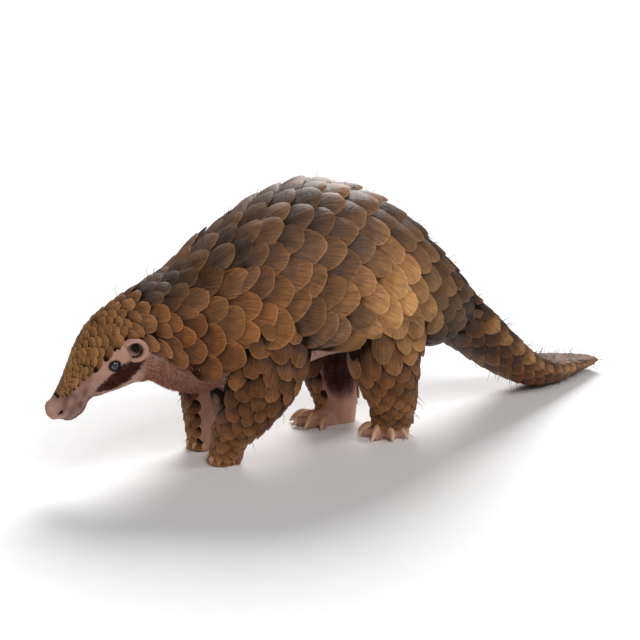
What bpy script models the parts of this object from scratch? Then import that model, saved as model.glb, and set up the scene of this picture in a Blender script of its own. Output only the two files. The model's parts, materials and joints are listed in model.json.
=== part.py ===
"""A walking Chinese pangolin, life size: head low, back arched, tail tip on the ground.

Metres, +Z up, the head towards -Y and the animal's left side towards +X. The body is a
tube of oval sections from nose to tail tip, and each leg is a tube from shoulder or hip
to foot. Where the animal wears scales a tube is laid out as a staggered lattice: every
scale starts low under the one in front and ends in a raised, free, rounded edge.
"""

import math
from typing import NamedTuple

import bmesh
import bpy
import numpy as np
from mathutils import Matrix, Vector

GAP = 0.0003
BODY_SQUARENESS = 2.25
LEG_SQUARENESS = 2.1
EDGE_ROUNDING = 0.17

EYE_RADIUS = 0.0045
EYE_SUNK = 0.0024
EYE_PLACE = ("eyes", 0.0000, 96.0)
EAR_PLACE = ("ears", -0.0030, 97.0)
EAR_RADIUS = 0.0075
EAR_HEIGHT = 0.0055
EAR_THICKNESS = 0.0023
EAR_SPREAD_DEG = 250.0
NOSTRIL_PLACE = ("nostrils", 0.0010, 100.0)
NOSTRIL_SIZE = (0.0010, 0.0028, 0.0016)
MOUTH_ANGLES_DEG = (150.0, 138.0, 130.0, 124.0)
LIP_RADIUS = 0.0017
GROOVE_RADIUS = 0.0008
SNOUT_TIP = (0.0, -0.3316, 0.0735)

HIND_CLAW = (0.0170, 0.0036)
FORE_CLAW = (0.0210, 0.0038)


class Section(NamedTuple):
    """One slice of the body, from the middle of the back to the middle of the belly."""

    name: str
    back_y: float
    back_z: float
    belly_y: float
    belly_z: float
    half_width: float
    side_x: float = 0.0


class Joint(NamedTuple):
    """One slice of a leg: its centre, and its half sizes across and along the body."""

    name: str
    x: float
    y: float
    z: float
    half_across: float
    half_along: float


class Foot(NamedTuple):
    """A foot's middle on the ground, which way it points, its half sizes and its toes."""

    x: float
    y: float
    turn_deg: float
    half_width: float
    half_length: float
    height: float
    toe_spread_deg: float
    toe_reach: float
    toe_radius: float
    claw_length: float
    claw_radius: float
    curled: bool


TRUNK = [
    Section("nose_tip", -0.3290, 0.0830, -0.3235, 0.0642, 0.0086),
    Section("nostrils", -0.3220, 0.0910, -0.3140, 0.0590, 0.0122),
    Section("muzzle", -0.3120, 0.1060, -0.3000, 0.0605, 0.0138),
    Section("chin", -0.3032, 0.1215, -0.2900, 0.0700, 0.0158),
    Section("bridge", -0.2955, 0.1325, -0.2820, 0.0765, 0.0185),
    Section("eyes", -0.2840, 0.1440, -0.2665, 0.0800, 0.0230),
    Section("ears", -0.2600, 0.1590, -0.2460, 0.0850, 0.0300),
    Section("nape", -0.2340, 0.1705, -0.2320, 0.0860, 0.0375),
    Section("throat", -0.2050, 0.1815, -0.2120, 0.0745, 0.0475),
    Section("shoulders", -0.1710, 0.2020, -0.1870, 0.0680, 0.0600),
    Section("withers", -0.1300, 0.2265, -0.1510, 0.0670, 0.0705),
    Section("ribs", -0.0870, 0.2445, -0.1040, 0.0740, 0.0770),
    Section("arch", -0.0420, 0.2515, -0.0520, 0.0850, 0.0800),
    Section("loin", 0.0070, 0.2375, -0.0060, 0.0830, 0.0790),
    Section("rump", 0.0520, 0.2095, 0.0330, 0.0760, 0.0735),
    Section("haunch", 0.0910, 0.1750, 0.0690, 0.0800, 0.0630),
    Section("tail_root", 0.1240, 0.1420, 0.0970, 0.0860, 0.0500),
]

TAIL = [
    Section("inside", 0.0920, 0.1640, 0.0700, 0.1000, 0.0380),
    Section("root", 0.1200, 0.1430, 0.1000, 0.0870, 0.0440),
    Section("first", 0.1570, 0.1130, 0.1370, 0.0660, 0.0440, -0.002),
    Section("second", 0.1960, 0.0800, 0.1800, 0.0390, 0.0410, -0.006),
    Section("third", 0.2330, 0.0530, 0.2230, 0.0170, 0.0370, -0.012),
    Section("fourth", 0.2700, 0.0370, 0.2650, 0.0030, 0.0330, -0.020),
    Section("fifth", 0.3080, 0.0300, 0.3060, -0.0012, 0.0275, -0.030),
    Section("sixth", 0.3440, 0.0260, 0.3430, 0.0040, 0.0205, -0.039),
    Section("tip", 0.3800, 0.0200, 0.3800, 0.0130, 0.0080, -0.047),
]

LEGS = {
    "foreleg_left": [
        Joint("root", 0.030, -0.118, 0.155, 0.026, 0.036),
        Joint("shoulder", 0.046, -0.124, 0.128, 0.032, 0.041),
        Joint("upper_arm", 0.053, -0.134, 0.099, 0.029, 0.038),
        Joint("elbow", 0.050, -0.147, 0.070, 0.025, 0.032),
        Joint("forearm", 0.041, -0.157, 0.044, 0.020, 0.023),
        Joint("wrist", 0.031, -0.164, 0.024, 0.016, 0.016),
        Joint("knuckles", 0.026, -0.166, -0.006, 0.013, 0.012),
    ],
    "foreleg_right": [
        Joint("root", -0.030, -0.138, 0.150, 0.024, 0.032),
        Joint("shoulder", -0.044, -0.143, 0.122, 0.027, 0.032),
        Joint("upper_arm", -0.046, -0.149, 0.095, 0.024, 0.027),
        Joint("elbow", -0.040, -0.153, 0.068, 0.020, 0.022),
        Joint("forearm", -0.033, -0.156, 0.044, 0.018, 0.019),
        Joint("wrist", -0.028, -0.158, 0.024, 0.016, 0.017),
        Joint("knuckles", -0.026, -0.158, -0.006, 0.014, 0.014),
    ],
    "hindleg_left": [
        Joint("root", 0.034, 0.012, 0.142, 0.026, 0.034),
        Joint("hip", 0.047, 0.006, 0.116, 0.030, 0.040),
        Joint("thigh", 0.051, 0.002, 0.090, 0.027, 0.039),
        Joint("knee", 0.050, 0.008, 0.063, 0.023, 0.029),
        Joint("shank", 0.046, 0.015, 0.040, 0.020, 0.023),
        Joint("ankle", 0.041, 0.018, 0.020, 0.019, 0.020),
        Joint("heel", 0.037, 0.019, -0.006, 0.018, 0.018),
    ],
    "hindleg_right": [
        Joint("root", -0.034, 0.012, 0.142, 0.026, 0.034),
        Joint("hip", -0.047, 0.006, 0.116, 0.029, 0.038),
        Joint("thigh", -0.047, 0.002, 0.090, 0.026, 0.034),
        Joint("knee", -0.042, -0.001, 0.063, 0.022, 0.031),
        Joint("shank", -0.037, 0.001, 0.040, 0.019, 0.027),
        Joint("ankle", -0.034, 0.003, 0.020, 0.018, 0.022),
        Joint("heel", -0.032, 0.002, -0.006, 0.017, 0.018),
    ],
}

FEET = {
    "foreleg_left": Foot(
        0.0255, -0.1650, 10, 0.0125, 0.0135, 0.023, 30, 0.0105, 0.0046, *FORE_CLAW, True
    ),
    "foreleg_right": Foot(
        -0.0260, -0.1570, 10, 0.0130, 0.0150, 0.022, 30, 0.0120, 0.0044, *FORE_CLAW, True
    ),
    "hindleg_left": Foot(
        0.0370, 0.0150, 28, 0.0200, 0.0235, 0.019, 37, 0.0185, 0.0062, *HIND_CLAW, False
    ),
    "hindleg_right": Foot(
        -0.0320, -0.0120, 6, 0.0185, 0.0290, 0.019, 27, 0.0240, 0.0062, *HIND_CLAW, False
    ),
}

COLOURS = {
    "scales": (0.115, 0.062, 0.030),
    "skin": (0.420, 0.240, 0.190),
    "eye": (0.020, 0.022, 0.026),
    "claw": (0.480, 0.260, 0.120),
}


def unit(vector):
    return vector / np.linalg.norm(vector)


class Curve:
    """A cubic Hermite curve through values at knots, with finite-difference slopes."""

    def __init__(self, knots, values):
        self.knots = np.asarray(knots, float)
        self.values = np.asarray(values, float)
        self.slopes = np.gradient(self.values, self.knots, axis=0)

    def __call__(self, at):
        i = int(np.clip(np.searchsorted(self.knots, at) - 1, 0, len(self.knots) - 2))
        span = self.knots[i + 1] - self.knots[i]
        t = (at - self.knots[i]) / span
        return (
            (2 * t**3 - 3 * t**2 + 1) * self.values[i]
            + (t**3 - 2 * t**2 + t) * span * self.slopes[i]
            + (3 * t**2 - 2 * t**3) * self.values[i + 1]
            + (t**3 - t**2) * span * self.slopes[i + 1]
        )


class Tube:
    """A body or leg as a smooth row of oval sections.

    An angle of 0 is the crown line, the back of the body or the outer side of a leg, and
    90 degrees is the animal's left on the body.
    """

    def __init__(self, names, centres, crowns, reaches, widths, squareness):
        centres = np.array(centres, float)
        steps = np.linalg.norm(np.diff(centres, axis=0), axis=1)
        self.knots = np.concatenate([[0.0], np.cumsum(steps)])
        self.place = dict(zip(names, self.knots))
        self.length = float(self.knots[-1])
        self.centre = Curve(self.knots, centres)
        self.crown = Curve(self.knots, crowns)
        self.reach = Curve(self.knots, reaches)
        self.width = Curve(self.knots, widths)
        self.power = 2.0 / squareness
        self.sections = {}
        self.arcs = {}

    def section(self, s):
        """Centre, crown direction, side direction, reach along the crown, half width."""
        key = round(s, 7)
        if key not in self.sections:
            step = self.length * 1e-3
            ahead = self.centre(min(s + step, self.length))
            behind = self.centre(max(s - step, 0.0))
            crown = unit(self.crown(s))
            side = unit(np.cross(unit(ahead - behind), crown))
            self.sections[key] = (
                self.centre(s), crown, side, float(self.reach(s)), float(self.width(s))
            )
        return self.sections[key]

    def points(self, s, angles, lift=0.0):
        """Points at angles from the crown line, raised by lift along the outward normal."""
        centre, crown, side, reach, width = self.section(s)
        cosine, sine = np.cos(angles), np.sin(angles)
        up = (np.sign(cosine) * np.abs(cosine) ** self.power)[:, None]
        out = (np.sign(sine) * np.abs(sine) ** self.power)[:, None]
        outward = crown * up / reach + side * out / width
        outward /= np.linalg.norm(outward, axis=1)[:, None]
        return centre + crown * up * reach + side * out * width + outward * lift

    def point(self, s, angle, lift=0.0):
        return Vector(self.points(s, np.array([angle]), lift)[0])

    def angle_at(self, s, share, edge_angle):
        """The angle a share, -1 to 1, of the way round to edge_angle, and the whole arc."""
        key = (round(s, 7), round(edge_angle, 6))
        if key not in self.arcs:
            angles = np.linspace(0.0, edge_angle, 49)
            steps = np.linalg.norm(np.diff(self.points(s, angles), axis=0), axis=1)
            self.arcs[key] = (np.concatenate([[0.0], np.cumsum(steps)]), angles)
        arc, angles = self.arcs[key]
        angle = float(np.interp(abs(share) * arc[-1], arc, angles))
        return math.copysign(angle, share), float(arc[-1])

    def surface_frame(self, s, angle):
        """A matrix at a place on the surface: X round the tube, Y along it, Z outward."""
        here = self.point(s, angle)
        along = (self.point(s + 0.001, angle) - self.point(s - 0.001, angle)).normalized()
        around = (self.point(s, angle + 0.01) - self.point(s, angle - 0.01)).normalized()
        outward = around.cross(along).normalized()
        centre = Vector(self.section(s)[0])
        if outward.dot(here - centre) < 0:
            outward = -outward
        around = along.cross(outward)
        frame = Matrix((around, along, outward)).transposed().to_4x4()
        frame.translation = here
        return frame


def body_tube(sections):
    """A tube in the mid plane, each section spanning from back point to belly point."""
    centres, crowns, reaches = [], [], []
    for item in sections:
        back = np.array([item.side_x, item.back_y, item.back_z])
        belly = np.array([item.side_x, item.belly_y, item.belly_z])
        centres.append((back + belly) / 2)
        crowns.append(unit(back - belly))
        reaches.append(np.linalg.norm(back - belly) / 2)
    names = [item.name for item in sections]
    widths = [item.half_width for item in sections]
    return Tube(names, centres, crowns, reaches, widths, BODY_SQUARENESS)


def leg_tube(joints):
    """A tube down a leg whose crown line runs down the outer side."""
    centres = np.array([[j.x, j.y, j.z] for j in joints])
    out = np.array([math.copysign(1.0, joints[0].x), 0.0, 0.0])
    runs = [unit(along) for along in np.gradient(centres, axis=0)]
    crowns = [unit(out - along * np.dot(out, along)) for along in runs]
    return Tube(
        [j.name for j in joints], centres, crowns,
        [j.half_across for j in joints], [j.half_along for j in joints], LEG_SQUARENESS,
    )


class Plating(NamedTuple):
    """How one tube wears its scales.

    half_columns is the number of half scales from the crown line to the edge of the
    scaly part, edge_deg that edge's angle, read evenly from start to end, and lift_share
    a scale's height at its tip as a share of a half column.
    """

    start: float
    end: float
    half_columns: int
    edge_deg: tuple
    stretch: float
    lift_share: float
    rounded: bool
    skin_points: int
    full_ring: bool = False
    free_end: bool = False


class PlatedMesh:
    """One closed mesh: bare rings, a lattice of raised scales, and bare rings again."""

    def __init__(self, tube, plating):
        self.tube = tube
        self.plating = plating
        self.bm = bmesh.new()
        self.cache = {}
        self.half = plating.half_columns
        self.rows = self.row_places()
        self.last = len(self.rows) - 1

    def edge_angle(self, s):
        if self.plating.full_ring:
            return math.pi
        share = (s - self.plating.start) / (self.plating.end - self.plating.start)
        places = np.linspace(0.0, 1.0, len(self.plating.edge_deg))
        return math.radians(float(np.interp(share, places, self.plating.edge_deg)))

    def row_places(self):
        """Rows spaced by the local width of a scale, an even number of steps in all."""
        places = [self.plating.start]
        while places[-1] < self.plating.end:
            here = places[-1]
            column = self.tube.angle_at(here, 1.0, self.edge_angle(here))[1] / self.half
            places.append(here + self.plating.stretch * column)
        if len(places) % 2 == 0:
            places.append(2 * places[-1] - places[-2])
        scale = (self.plating.end - places[0]) / (places[-1] - places[0])
        return [places[0] + (place - places[0]) * scale for place in places]

    def vertex(self, row, column, level):
        """The vertex at a lattice place; level runs from 0, skin, to 1, the free tip."""
        if self.plating.full_ring:
            column = (column + self.half) % (2 * self.half) - self.half
        rear_corner = row == self.last and abs(column) == self.half
        if row == 0 or (rear_corner and self.plating.free_end):
            level = 0.0
        key = (round(row, 4), round(column, 4), level)
        if key not in self.cache:
            low = int(min(math.floor(row), self.last - 1))
            s = self.rows[low] + (row - low) * (self.rows[low + 1] - self.rows[low])
            angle, arc = self.tube.angle_at(s, column / self.half, self.edge_angle(s))
            lift = level * self.plating.lift_share * arc / self.half
            self.cache[key] = self.bm.verts.new(self.tube.point(s, angle, lift))
        return self.cache[key]

    def face(self, *corners):
        """One face, after corners that fall together or are missing are dropped."""
        kept = []
        for corner in corners:
            if corner is not None and corner not in kept:
                kept.append(corner)
        if len(kept) > 2:
            self.bm.faces.new(kept)

    def bulge(self, row, column, side, level):
        """The rounding of the rear edge that runs from (row, column + side) to the tip."""
        if not self.plating.rounded:
            return None
        shift = 0.5 + EDGE_ROUNDING
        return self.vertex(row + shift, column + side * shift, level)

    def side_corners(self, row, column, side):
        """A scale's points on one side: in front of its corner, at it, and behind it."""
        if not self.plating.full_ring and column == side * self.half:
            return None
        corner = self.vertex(row, column + side, 0.5)
        before = after = None
        if row > 0:
            before = self.bulge(row - 1, column + side, -side, 0.25)
        if row < self.last:
            after = self.bulge(row, column, side, 0.75)
            self.step(row, column, side)
        return before, corner, after

    def scale(self, row, column):
        """One scale's top and the steps at its rear edges; border scales are halves."""
        front = self.vertex(row - 1, column, 0.0) if row > 0 else None
        tip = self.vertex(row + 1, column, 1.0) if row < self.last else None
        left = self.side_corners(row, column, -1)
        right = self.side_corners(row, column, 1)
        if left is None or right is None:
            before, corner, after = left or right
            self.face(front, before, corner, after, tip)
            return
        left_before, left_corner, left_after = left
        right_before, right_corner, right_after = right
        self.face(front, right_before, left_before)
        self.face(left_before or front, right_before, right_corner, left_corner)
        self.face(left_corner, right_corner, right_after or tip, left_after)
        self.face(left_after, right_after, tip)

    def step(self, row, column, side):
        """The drop from a scale's rear edge to the scale that lies behind it."""
        high = self.bulge(row, column, side, 0.75)
        low = self.bulge(row, column, side, 0.25)
        high_corner = self.vertex(row, column + side, 0.5)
        low_corner = self.vertex(row, column + side, 0.0)
        high_tip = self.vertex(row + 1, column, 1.0)
        low_tip = self.vertex(row + 1, column, 0.5)
        if high is None:
            self.face(high_corner, high_tip, low_tip, low_corner)
            return
        self.face(high_corner, high, low, low_corner)
        self.face(high, high_tip, low_tip, low)

    def lattice(self):
        rows = self.last if self.plating.free_end else self.last + 1
        for row in range(rows):
            for column in range(-self.half, self.half + (not self.plating.full_ring)):
                if (row + column) % 2:
                    self.scale(row, column)

    def border_walls(self):
        """The drop from the border scales to the bare skin beside them."""
        for row in range(1, self.last, 2):
            for edge in (-self.half, self.half):
                self.face(
                    self.vertex(row - 1, edge, 0.0),
                    self.vertex(row + 1, edge, 0.0),
                    self.vertex(row + 1, edge, 0.5),
                    self.vertex(row + 1, edge, 1.0),
                )

    def end_wall(self):
        """The drop from the last row of scales to the skin."""
        for column in range(-self.half, self.half, 2):
            self.face(
                self.vertex(self.last, column, 0.5),
                self.vertex(self.last, column + 2, 0.5),
                self.vertex(self.last, column + 2, 0.0),
                self.vertex(self.last, column, 0.0),
            )

    def free_end_cap(self):
        """Closes the rear behind a last row whose tips stand free."""
        row, loop = self.last, [self.vertex(self.last, -self.half, 0.0)]
        for column in range(-self.half, self.half, 2):
            loop.append(self.vertex(row, column, 0.5))
            loop.append(self.bulge(row - 1, column, 1, 0.25))
            loop.append(self.vertex(row - 1, column + 1, 0.0))
            loop.append(self.bulge(row - 1, column + 2, -1, 0.25))
        loop.append(self.vertex(row, self.half, 0.5))
        loop += self.belly_points(row)[:-1]
        self.fan([corner for corner in loop if corner], self.tube.section(self.rows[-1])[0])

    def fan(self, loop, centre):
        middle = self.bm.verts.new(Vector(centre))
        for here, after in zip(loop, loop[1:] + loop[:1]):
            self.face(here, after, middle)

    def belly_points(self, row):
        """The points of the bare skin at an even row, from one border to the other."""
        points = [self.vertex(row, self.half, 0.0)]
        edge = self.edge_angle(self.rows[row])
        for i in range(1, self.plating.skin_points + 1):
            key = ("skin", row, i)
            if key not in self.cache:
                angle = edge + i / (self.plating.skin_points + 1) * 2 * (math.pi - edge)
                self.cache[key] = self.bm.verts.new(self.tube.point(self.rows[row], angle))
            points.append(self.cache[key])
        return points + [self.vertex(row, -self.half, 0.0)]

    def belly(self):
        for row in range(0, self.last, 2):
            here, there = self.belly_points(row), self.belly_points(row + 2)
            for a, b, c, d in zip(here, here[1:], there[1:], there):
                self.face(a, b, c, d)

    def ring(self, row):
        """The closed ring of skin-level corners at an even row, and their angles."""
        edge = self.edge_angle(self.rows[row])
        columns = list(range(-self.half, self.half, 2))
        corners = [self.vertex(row, column, 0.0) for column in columns]
        angles = [
            self.tube.angle_at(self.rows[row], column / self.half, edge)[0]
            for column in columns
        ]
        if not self.plating.full_ring:
            corners += self.belly_points(row)[:-1]
            count = self.plating.skin_points + 1
            angles += [edge + i / count * 2 * (math.pi - edge) for i in range(count)]
        return corners, angles

    def bare_rings(self, row, places):
        """Plain rings that carry the surface on from the lattice's first or last row."""
        before, angles = self.ring(row)
        for s in places:
            points = self.tube.points(s, np.array(angles))
            after = [self.bm.verts.new(Vector(point)) for point in points]
            for i, j in zip(range(len(before)), list(range(1, len(before))) + [0]):
                self.face(before[i], before[j], after[j], after[i])
            before = after
        return before

    def build(self, front_places=(), rear_places=(), pole=None):
        self.lattice()
        if not self.plating.full_ring:
            self.border_walls()
            self.belly()
        front = self.bare_rings(0, front_places)
        if pole is None:
            self.bm.faces.new(front)
        else:
            self.fan(front, pole)
        if self.plating.free_end:
            self.free_end_cap()
        else:
            self.end_wall()
            self.bm.faces.new(self.bare_rings(self.last, rear_places))
        return outward_faces(self.bm)


def outward_faces(bm):
    bmesh.ops.triangulate(bm, faces=bm.faces[:])
    bmesh.ops.recalc_face_normals(bm, faces=bm.faces[:])
    if bm.calc_volume(signed=True) < 0:
        bmesh.ops.reverse_faces(bm, faces=bm.faces[:])
    return bm


def add_object(name, bm, finish="skin"):
    mesh = bpy.data.meshes.new(name)
    bm.to_mesh(mesh)
    bm.free()
    obj = bpy.data.objects.new(name, mesh)
    bpy.context.scene.collection.objects.link(obj)
    paint(obj, finish)
    return obj


def paint(obj, finish):
    """Gives an object a material of its own, in the finish's colour."""
    material = bpy.data.materials.new(f"{obj.name}_{finish}")
    material.use_nodes = True
    shader = material.node_tree.nodes["Principled BSDF"]
    shader.inputs["Base Color"].default_value = (*COLOURS[finish], 1.0)
    shader.inputs["Roughness"].default_value = 0.08 if finish == "eye" else 0.55
    shader.inputs["Metallic"].default_value = 0.0
    obj.data.materials.clear()
    obj.data.materials.append(material)


def ellipsoid(frame, radii, around=12, rings=7):
    """A closed ellipsoid in the given frame."""
    bm = bmesh.new()
    bmesh.ops.create_uvsphere(bm, u_segments=around, v_segments=rings, radius=1.0)
    matrix = frame @ Matrix.Diagonal((*radii, 1.0))
    bmesh.ops.transform(bm, matrix=matrix, verts=bm.verts)
    return add_object("ellipsoid", outward_faces(bm))


def swept(centres, radii, sideways, sides, flatten=1.0, name="swept"):
    """A closed tapered body along centres, its rings flattened towards sideways."""
    bm = bmesh.new()
    rings = []
    count = len(centres)
    for i, (centre, radius) in enumerate(zip(centres, radii)):
        along = (centres[min(i + 1, count - 1)] - centres[max(i - 1, 0)]).normalized()
        rise = along.cross(sideways).normalized()
        across = rise.cross(along).normalized()
        ring = []
        for k in range(sides):
            turn = 2 * math.pi * (k + 0.5) / sides
            offset = across * math.cos(turn) * flatten + rise * math.sin(turn)
            ring.append(bm.verts.new(centre + offset * radius))
        rings.append(ring)
    for here, after in zip(rings, rings[1:]):
        for k in range(sides):
            j = (k + 1) % sides
            bm.faces.new((here[k], here[j], after[j], after[k]))
    bm.faces.new(rings[0])
    bm.faces.new(rings[-1])
    return add_object(name, outward_faces(bm))


def grown(obj, distance=GAP):
    """A copy of a solid with its surface pushed out evenly, for cutting its neighbour."""
    bm = bmesh.new()
    bm.from_mesh(obj.data)
    bm.normal_update()
    shifts = [
        vertex.normal * distance * min(vertex.calc_shell_factor(), 2.0) for vertex in bm.verts
    ]
    for vertex, shift in zip(bm.verts, shifts):
        vertex.co += shift
    return add_object(obj.name + "_grown", bm)


def clearance(items):
    """Cutters round solids; the nearer one closes folds that growing leaves at sharp edges."""
    return [grown(item, distance) for item in items for distance in (GAP, GAP / 3)]


def combine(obj, others, operation, solver="MANIFOLD"):
    """Joins others to a solid, or cuts it by them, and removes them."""
    group = bpy.data.collections.new("pieces")
    bpy.context.scene.collection.children.link(group)
    for other in others:
        group.objects.link(other)
    modifier = obj.modifiers.new("shape", "BOOLEAN")
    modifier.operation = operation
    modifier.solver = solver
    modifier.operand_type = "COLLECTION"
    modifier.collection = group
    if solver == "EXACT":
        modifier.use_self = True
    finish = obj.data.materials[0]
    mesh = bpy.data.meshes.new_from_object(
        obj.evaluated_get(bpy.context.evaluated_depsgraph_get())
    )
    obj.modifiers.clear()
    obj.data = mesh
    for other in others:
        bpy.data.objects.remove(other)
    bpy.data.collections.remove(group)
    keep_largest(obj)
    obj.data.materials.clear()
    obj.data.materials.append(finish)
    return obj


def keep_largest(obj):
    """Keeps a solid's largest closed surface, as triangles."""
    bm = bmesh.new()
    bm.from_mesh(obj.data)
    left, best = set(bm.verts), []
    while left:
        stack, island = [left.pop()], []
        while stack:
            vertex = stack.pop()
            island.append(vertex)
            for edge in vertex.link_edges:
                other = edge.other_vert(vertex)
                if other in left:
                    left.remove(other)
                    stack.append(other)
        if len(island) > len(best):
            best = island
    keep = set(best)
    bmesh.ops.delete(bm, geom=[v for v in bm.verts if v not in keep], context="VERTS")
    bmesh.ops.triangulate(bm, faces=bm.faces[:])
    for face in bm.faces:
        face.material_index = 0
    bm.to_mesh(obj.data)
    bm.free()


def floor_slab():
    """What lies below the floor, for cutting flat soles."""
    bm = bmesh.new()
    bmesh.ops.create_cube(bm, size=1.0)
    bmesh.ops.translate(bm, verts=bm.verts, vec=(0.0, 0.0, -0.5))
    return add_object("below_floor", bm)


def place_frame(trunk, place, side):
    """The frame on the head's surface at a named place, on one side."""
    name, offset, degrees = place
    return trunk.surface_frame(trunk.place[name] + offset, side * math.radians(degrees))


def lid_ring(eye):
    """The raised rim of the eyelids, a little longer than high."""
    bm = bmesh.new()
    count, profile, rings = 14, 6, []
    for i in range(count):
        turn = 2 * math.pi * i / count
        outward = Vector((math.cos(turn) * 0.86, math.sin(turn) * 1.12, 0.0))
        ring = []
        for k in range(profile):
            angle = 2 * math.pi * k / profile
            reach = EYE_RADIUS + 0.0006 + 0.0014 * math.cos(angle)
            rise = Vector((0.0, 0.0, 0.0014 * math.sin(angle) - 0.0002))
            ring.append(bm.verts.new(eye @ (outward * reach + rise)))
        rings.append(ring)
    for here, after in zip(rings, rings[1:] + rings[:1]):
        for k in range(profile):
            j = (k + 1) % profile
            bm.faces.new((here[k], here[j], after[j], after[k]))
    return add_object("lids", outward_faces(bm))


def mouth_pieces(trunk, side):
    """The lips on one side, a low ridge, and the groove between them."""
    start, end = trunk.place["nostrils"] - 0.002, trunk.place["chin"] + 0.001
    places = np.linspace(start, end, 7)
    knots = np.linspace(start, end, len(MOUTH_ANGLES_DEG))
    angles = side * np.radians(np.interp(places, knots, MOUTH_ANGLES_DEG))
    taper = np.sin(np.linspace(0.35, math.pi - 0.40, len(places)))
    sideways = Vector((side, 0.0, 0.0))
    ridge = [trunk.point(s, a, -0.0006) for s, a in zip(places, angles)]
    line = [trunk.point(s, a) for s, a in zip(places, angles)]
    lips = swept(ridge, [LIP_RADIUS * t for t in taper], sideways, 6)
    groove = swept(line, [GROOVE_RADIUS * (0.4 + 0.6 * t) for t in taper], sideways, 4)
    return lips, groove


def head_pieces(trunk, side):
    """What is joined to one side of the head, and what is cut from it."""
    eye = place_frame(trunk, EYE_PLACE, side)
    ear = place_frame(trunk, EAR_PLACE, side)
    nostril = place_frame(trunk, NOSTRIL_PLACE, side)
    lips, groove = mouth_pieces(trunk, side)
    tilt = Matrix.Rotation(math.radians(25.0 * side), 4, "Z")
    socket = eye @ Matrix.Translation((0.0, 0.0, -EYE_SUNK))
    canal = ear @ Matrix.Translation((0.0, -0.0010, 0.0))
    cuts = [
        groove,
        ellipsoid(nostril @ tilt, NOSTRIL_SIZE, 8, 5),
        ellipsoid(socket, (EYE_RADIUS + GAP,) * 3, 12, 8),
        ellipsoid(canal, (0.0034, 0.0030, 0.0040), 8, 5),
    ]
    return [lid_ring(eye), lips], cuts


def ear_flap(trunk, side):
    """A low cupped flap that stands round the back of the ear's opening."""
    frame = place_frame(trunk, EAR_PLACE, side)
    bm = bmesh.new()
    count, rings = 13, []
    for i in range(count):
        share = i / (count - 1)
        turn = math.radians((share - 0.5) * EAR_SPREAD_DEG) + math.pi / 2
        fade = math.sin(math.pi * (0.08 + 0.84 * share)) ** 0.6
        out = Vector((math.cos(turn), math.sin(turn), 0.0))
        height, thick = EAR_HEIGHT * fade, EAR_THICKNESS * (0.6 + 0.4 * fade)
        lean = 0.0014 * fade
        profile = [
            (-thick / 2, -0.0030), (thick / 2, -0.0030), (thick / 2 + lean, height * 0.55),
            (thick * 0.2 + lean * 2, height), (-thick * 0.3 + lean * 2, height),
            (-thick / 2 + lean, height * 0.55),
        ]
        rings.append([
            bm.verts.new(frame @ (out * (EAR_RADIUS + across) + Vector((0, 0, rise))))
            for across, rise in profile
        ])
    for here, after in zip(rings, rings[1:]):
        for k in range(len(here)):
            j = (k + 1) % len(here)
            bm.faces.new((here[k], here[j], after[j], after[k]))
    bm.faces.new(rings[0])
    bm.faces.new(rings[-1])
    return add_object("ear_left" if side > 0 else "ear_right", outward_faces(bm))


def toe_layout(foot, side):
    """For each toe its knuckle point, its pointing direction and its size."""
    toes = []
    for i in range(5):
        turn = math.radians(foot.turn_deg + (i - 2) * foot.toe_spread_deg)
        toward = Vector((side * math.sin(turn), -math.cos(turn), 0.0))
        size = (0.82, 1.0, 1.08, 1.0, 0.8)[i]
        reach = foot.toe_reach * (0.9 + 0.1 * size)
        toes.append((Vector((foot.x, foot.y, 0.0)) + toward * reach, toward, size))
    return toes


def claw(foot, knuckle, toward, size, name, grow=0.0):
    """A claw that leaves the toe and bends down to a blunt point above the ground."""
    length = foot.claw_length * size
    radius = foot.claw_radius * size
    start_height = foot.toe_radius * size * 1.25
    centres, radii = [], []
    tapers = (1.0, 0.98, 0.84, 0.58, 0.16)
    for i, taper in enumerate(tapers):
        t = i / (len(tapers) - 1)
        if foot.curled:
            ahead = length * (0.36 * math.sin(math.pi * 0.80 * t) - 0.02)
            height = start_height + length * (0.30 - 0.60 * t) + 0.003
        else:
            ahead = length * (0.80 * t - 0.02)
            height = start_height + length * (0.22 * t - 0.55 * t * t)
        height = max(height, radius * taper + 0.0008)
        centres.append(knuckle + toward * ahead + Vector((0, 0, height)))
        radii.append(radius * taper + grow)
    if grow:
        centres[0] += (centres[0] - centres[1]).normalized() * grow
        centres[-1] += (centres[-1] - centres[-2]).normalized() * grow
    return swept(centres, radii, toward.cross(Vector((0.0, 0.0, 1.0))), 6, 0.72, name)


def leg(name, tube, foot, neighbours):
    """A scaled leg with its foot and toes, set against the body and flat on the ground."""
    side = 1 if name.endswith("left") else -1
    plates = Plating(
        0.012, tube.place["ankle" if "hind" in name else "wrist"] + 0.004,
        6, (112, 108, 104, 100), 1.3, 0.2, False, 5,
    )
    shape = add_object(
        name, PlatedMesh(tube, plates).build([0.0], [tube.length - 0.012, tube.length])
    )
    ground = Matrix.Translation((foot.x, foot.y, 0.0))
    ground @= Matrix.Rotation(side * math.radians(foot.turn_deg), 4, "Z")
    pieces = [ellipsoid(ground, (foot.half_width, foot.half_length, foot.height), 12, 6)]
    claws, sockets = [], []
    stem = name.replace("leg_", "_")
    for index, (knuckle, toward, size) in enumerate(toe_layout(foot, side), start=1):
        radius = foot.toe_radius * size
        turn = Matrix.Rotation(math.atan2(toward.x, -toward.y), 4, "Z")
        frame = Matrix.Translation(knuckle + Vector((0, 0, radius * 0.85))) @ turn
        pieces.append(ellipsoid(frame, (radius, radius * 1.5, radius * 1.15), 8, 5))
        claws.append(claw(foot, knuckle, toward, size, f"claw_{stem}_{index}"))
        sockets.append(claw(foot, knuckle, toward, size, "socket", GAP))
    combine(shape, pieces, "UNION")
    cuts = sockets + clearance(neighbours) + [floor_slab()]
    combine(shape, cuts, "DIFFERENCE")
    paint(shape, "scales")
    for item in claws:
        paint(item, "claw")
    return [shape] + claws


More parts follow.
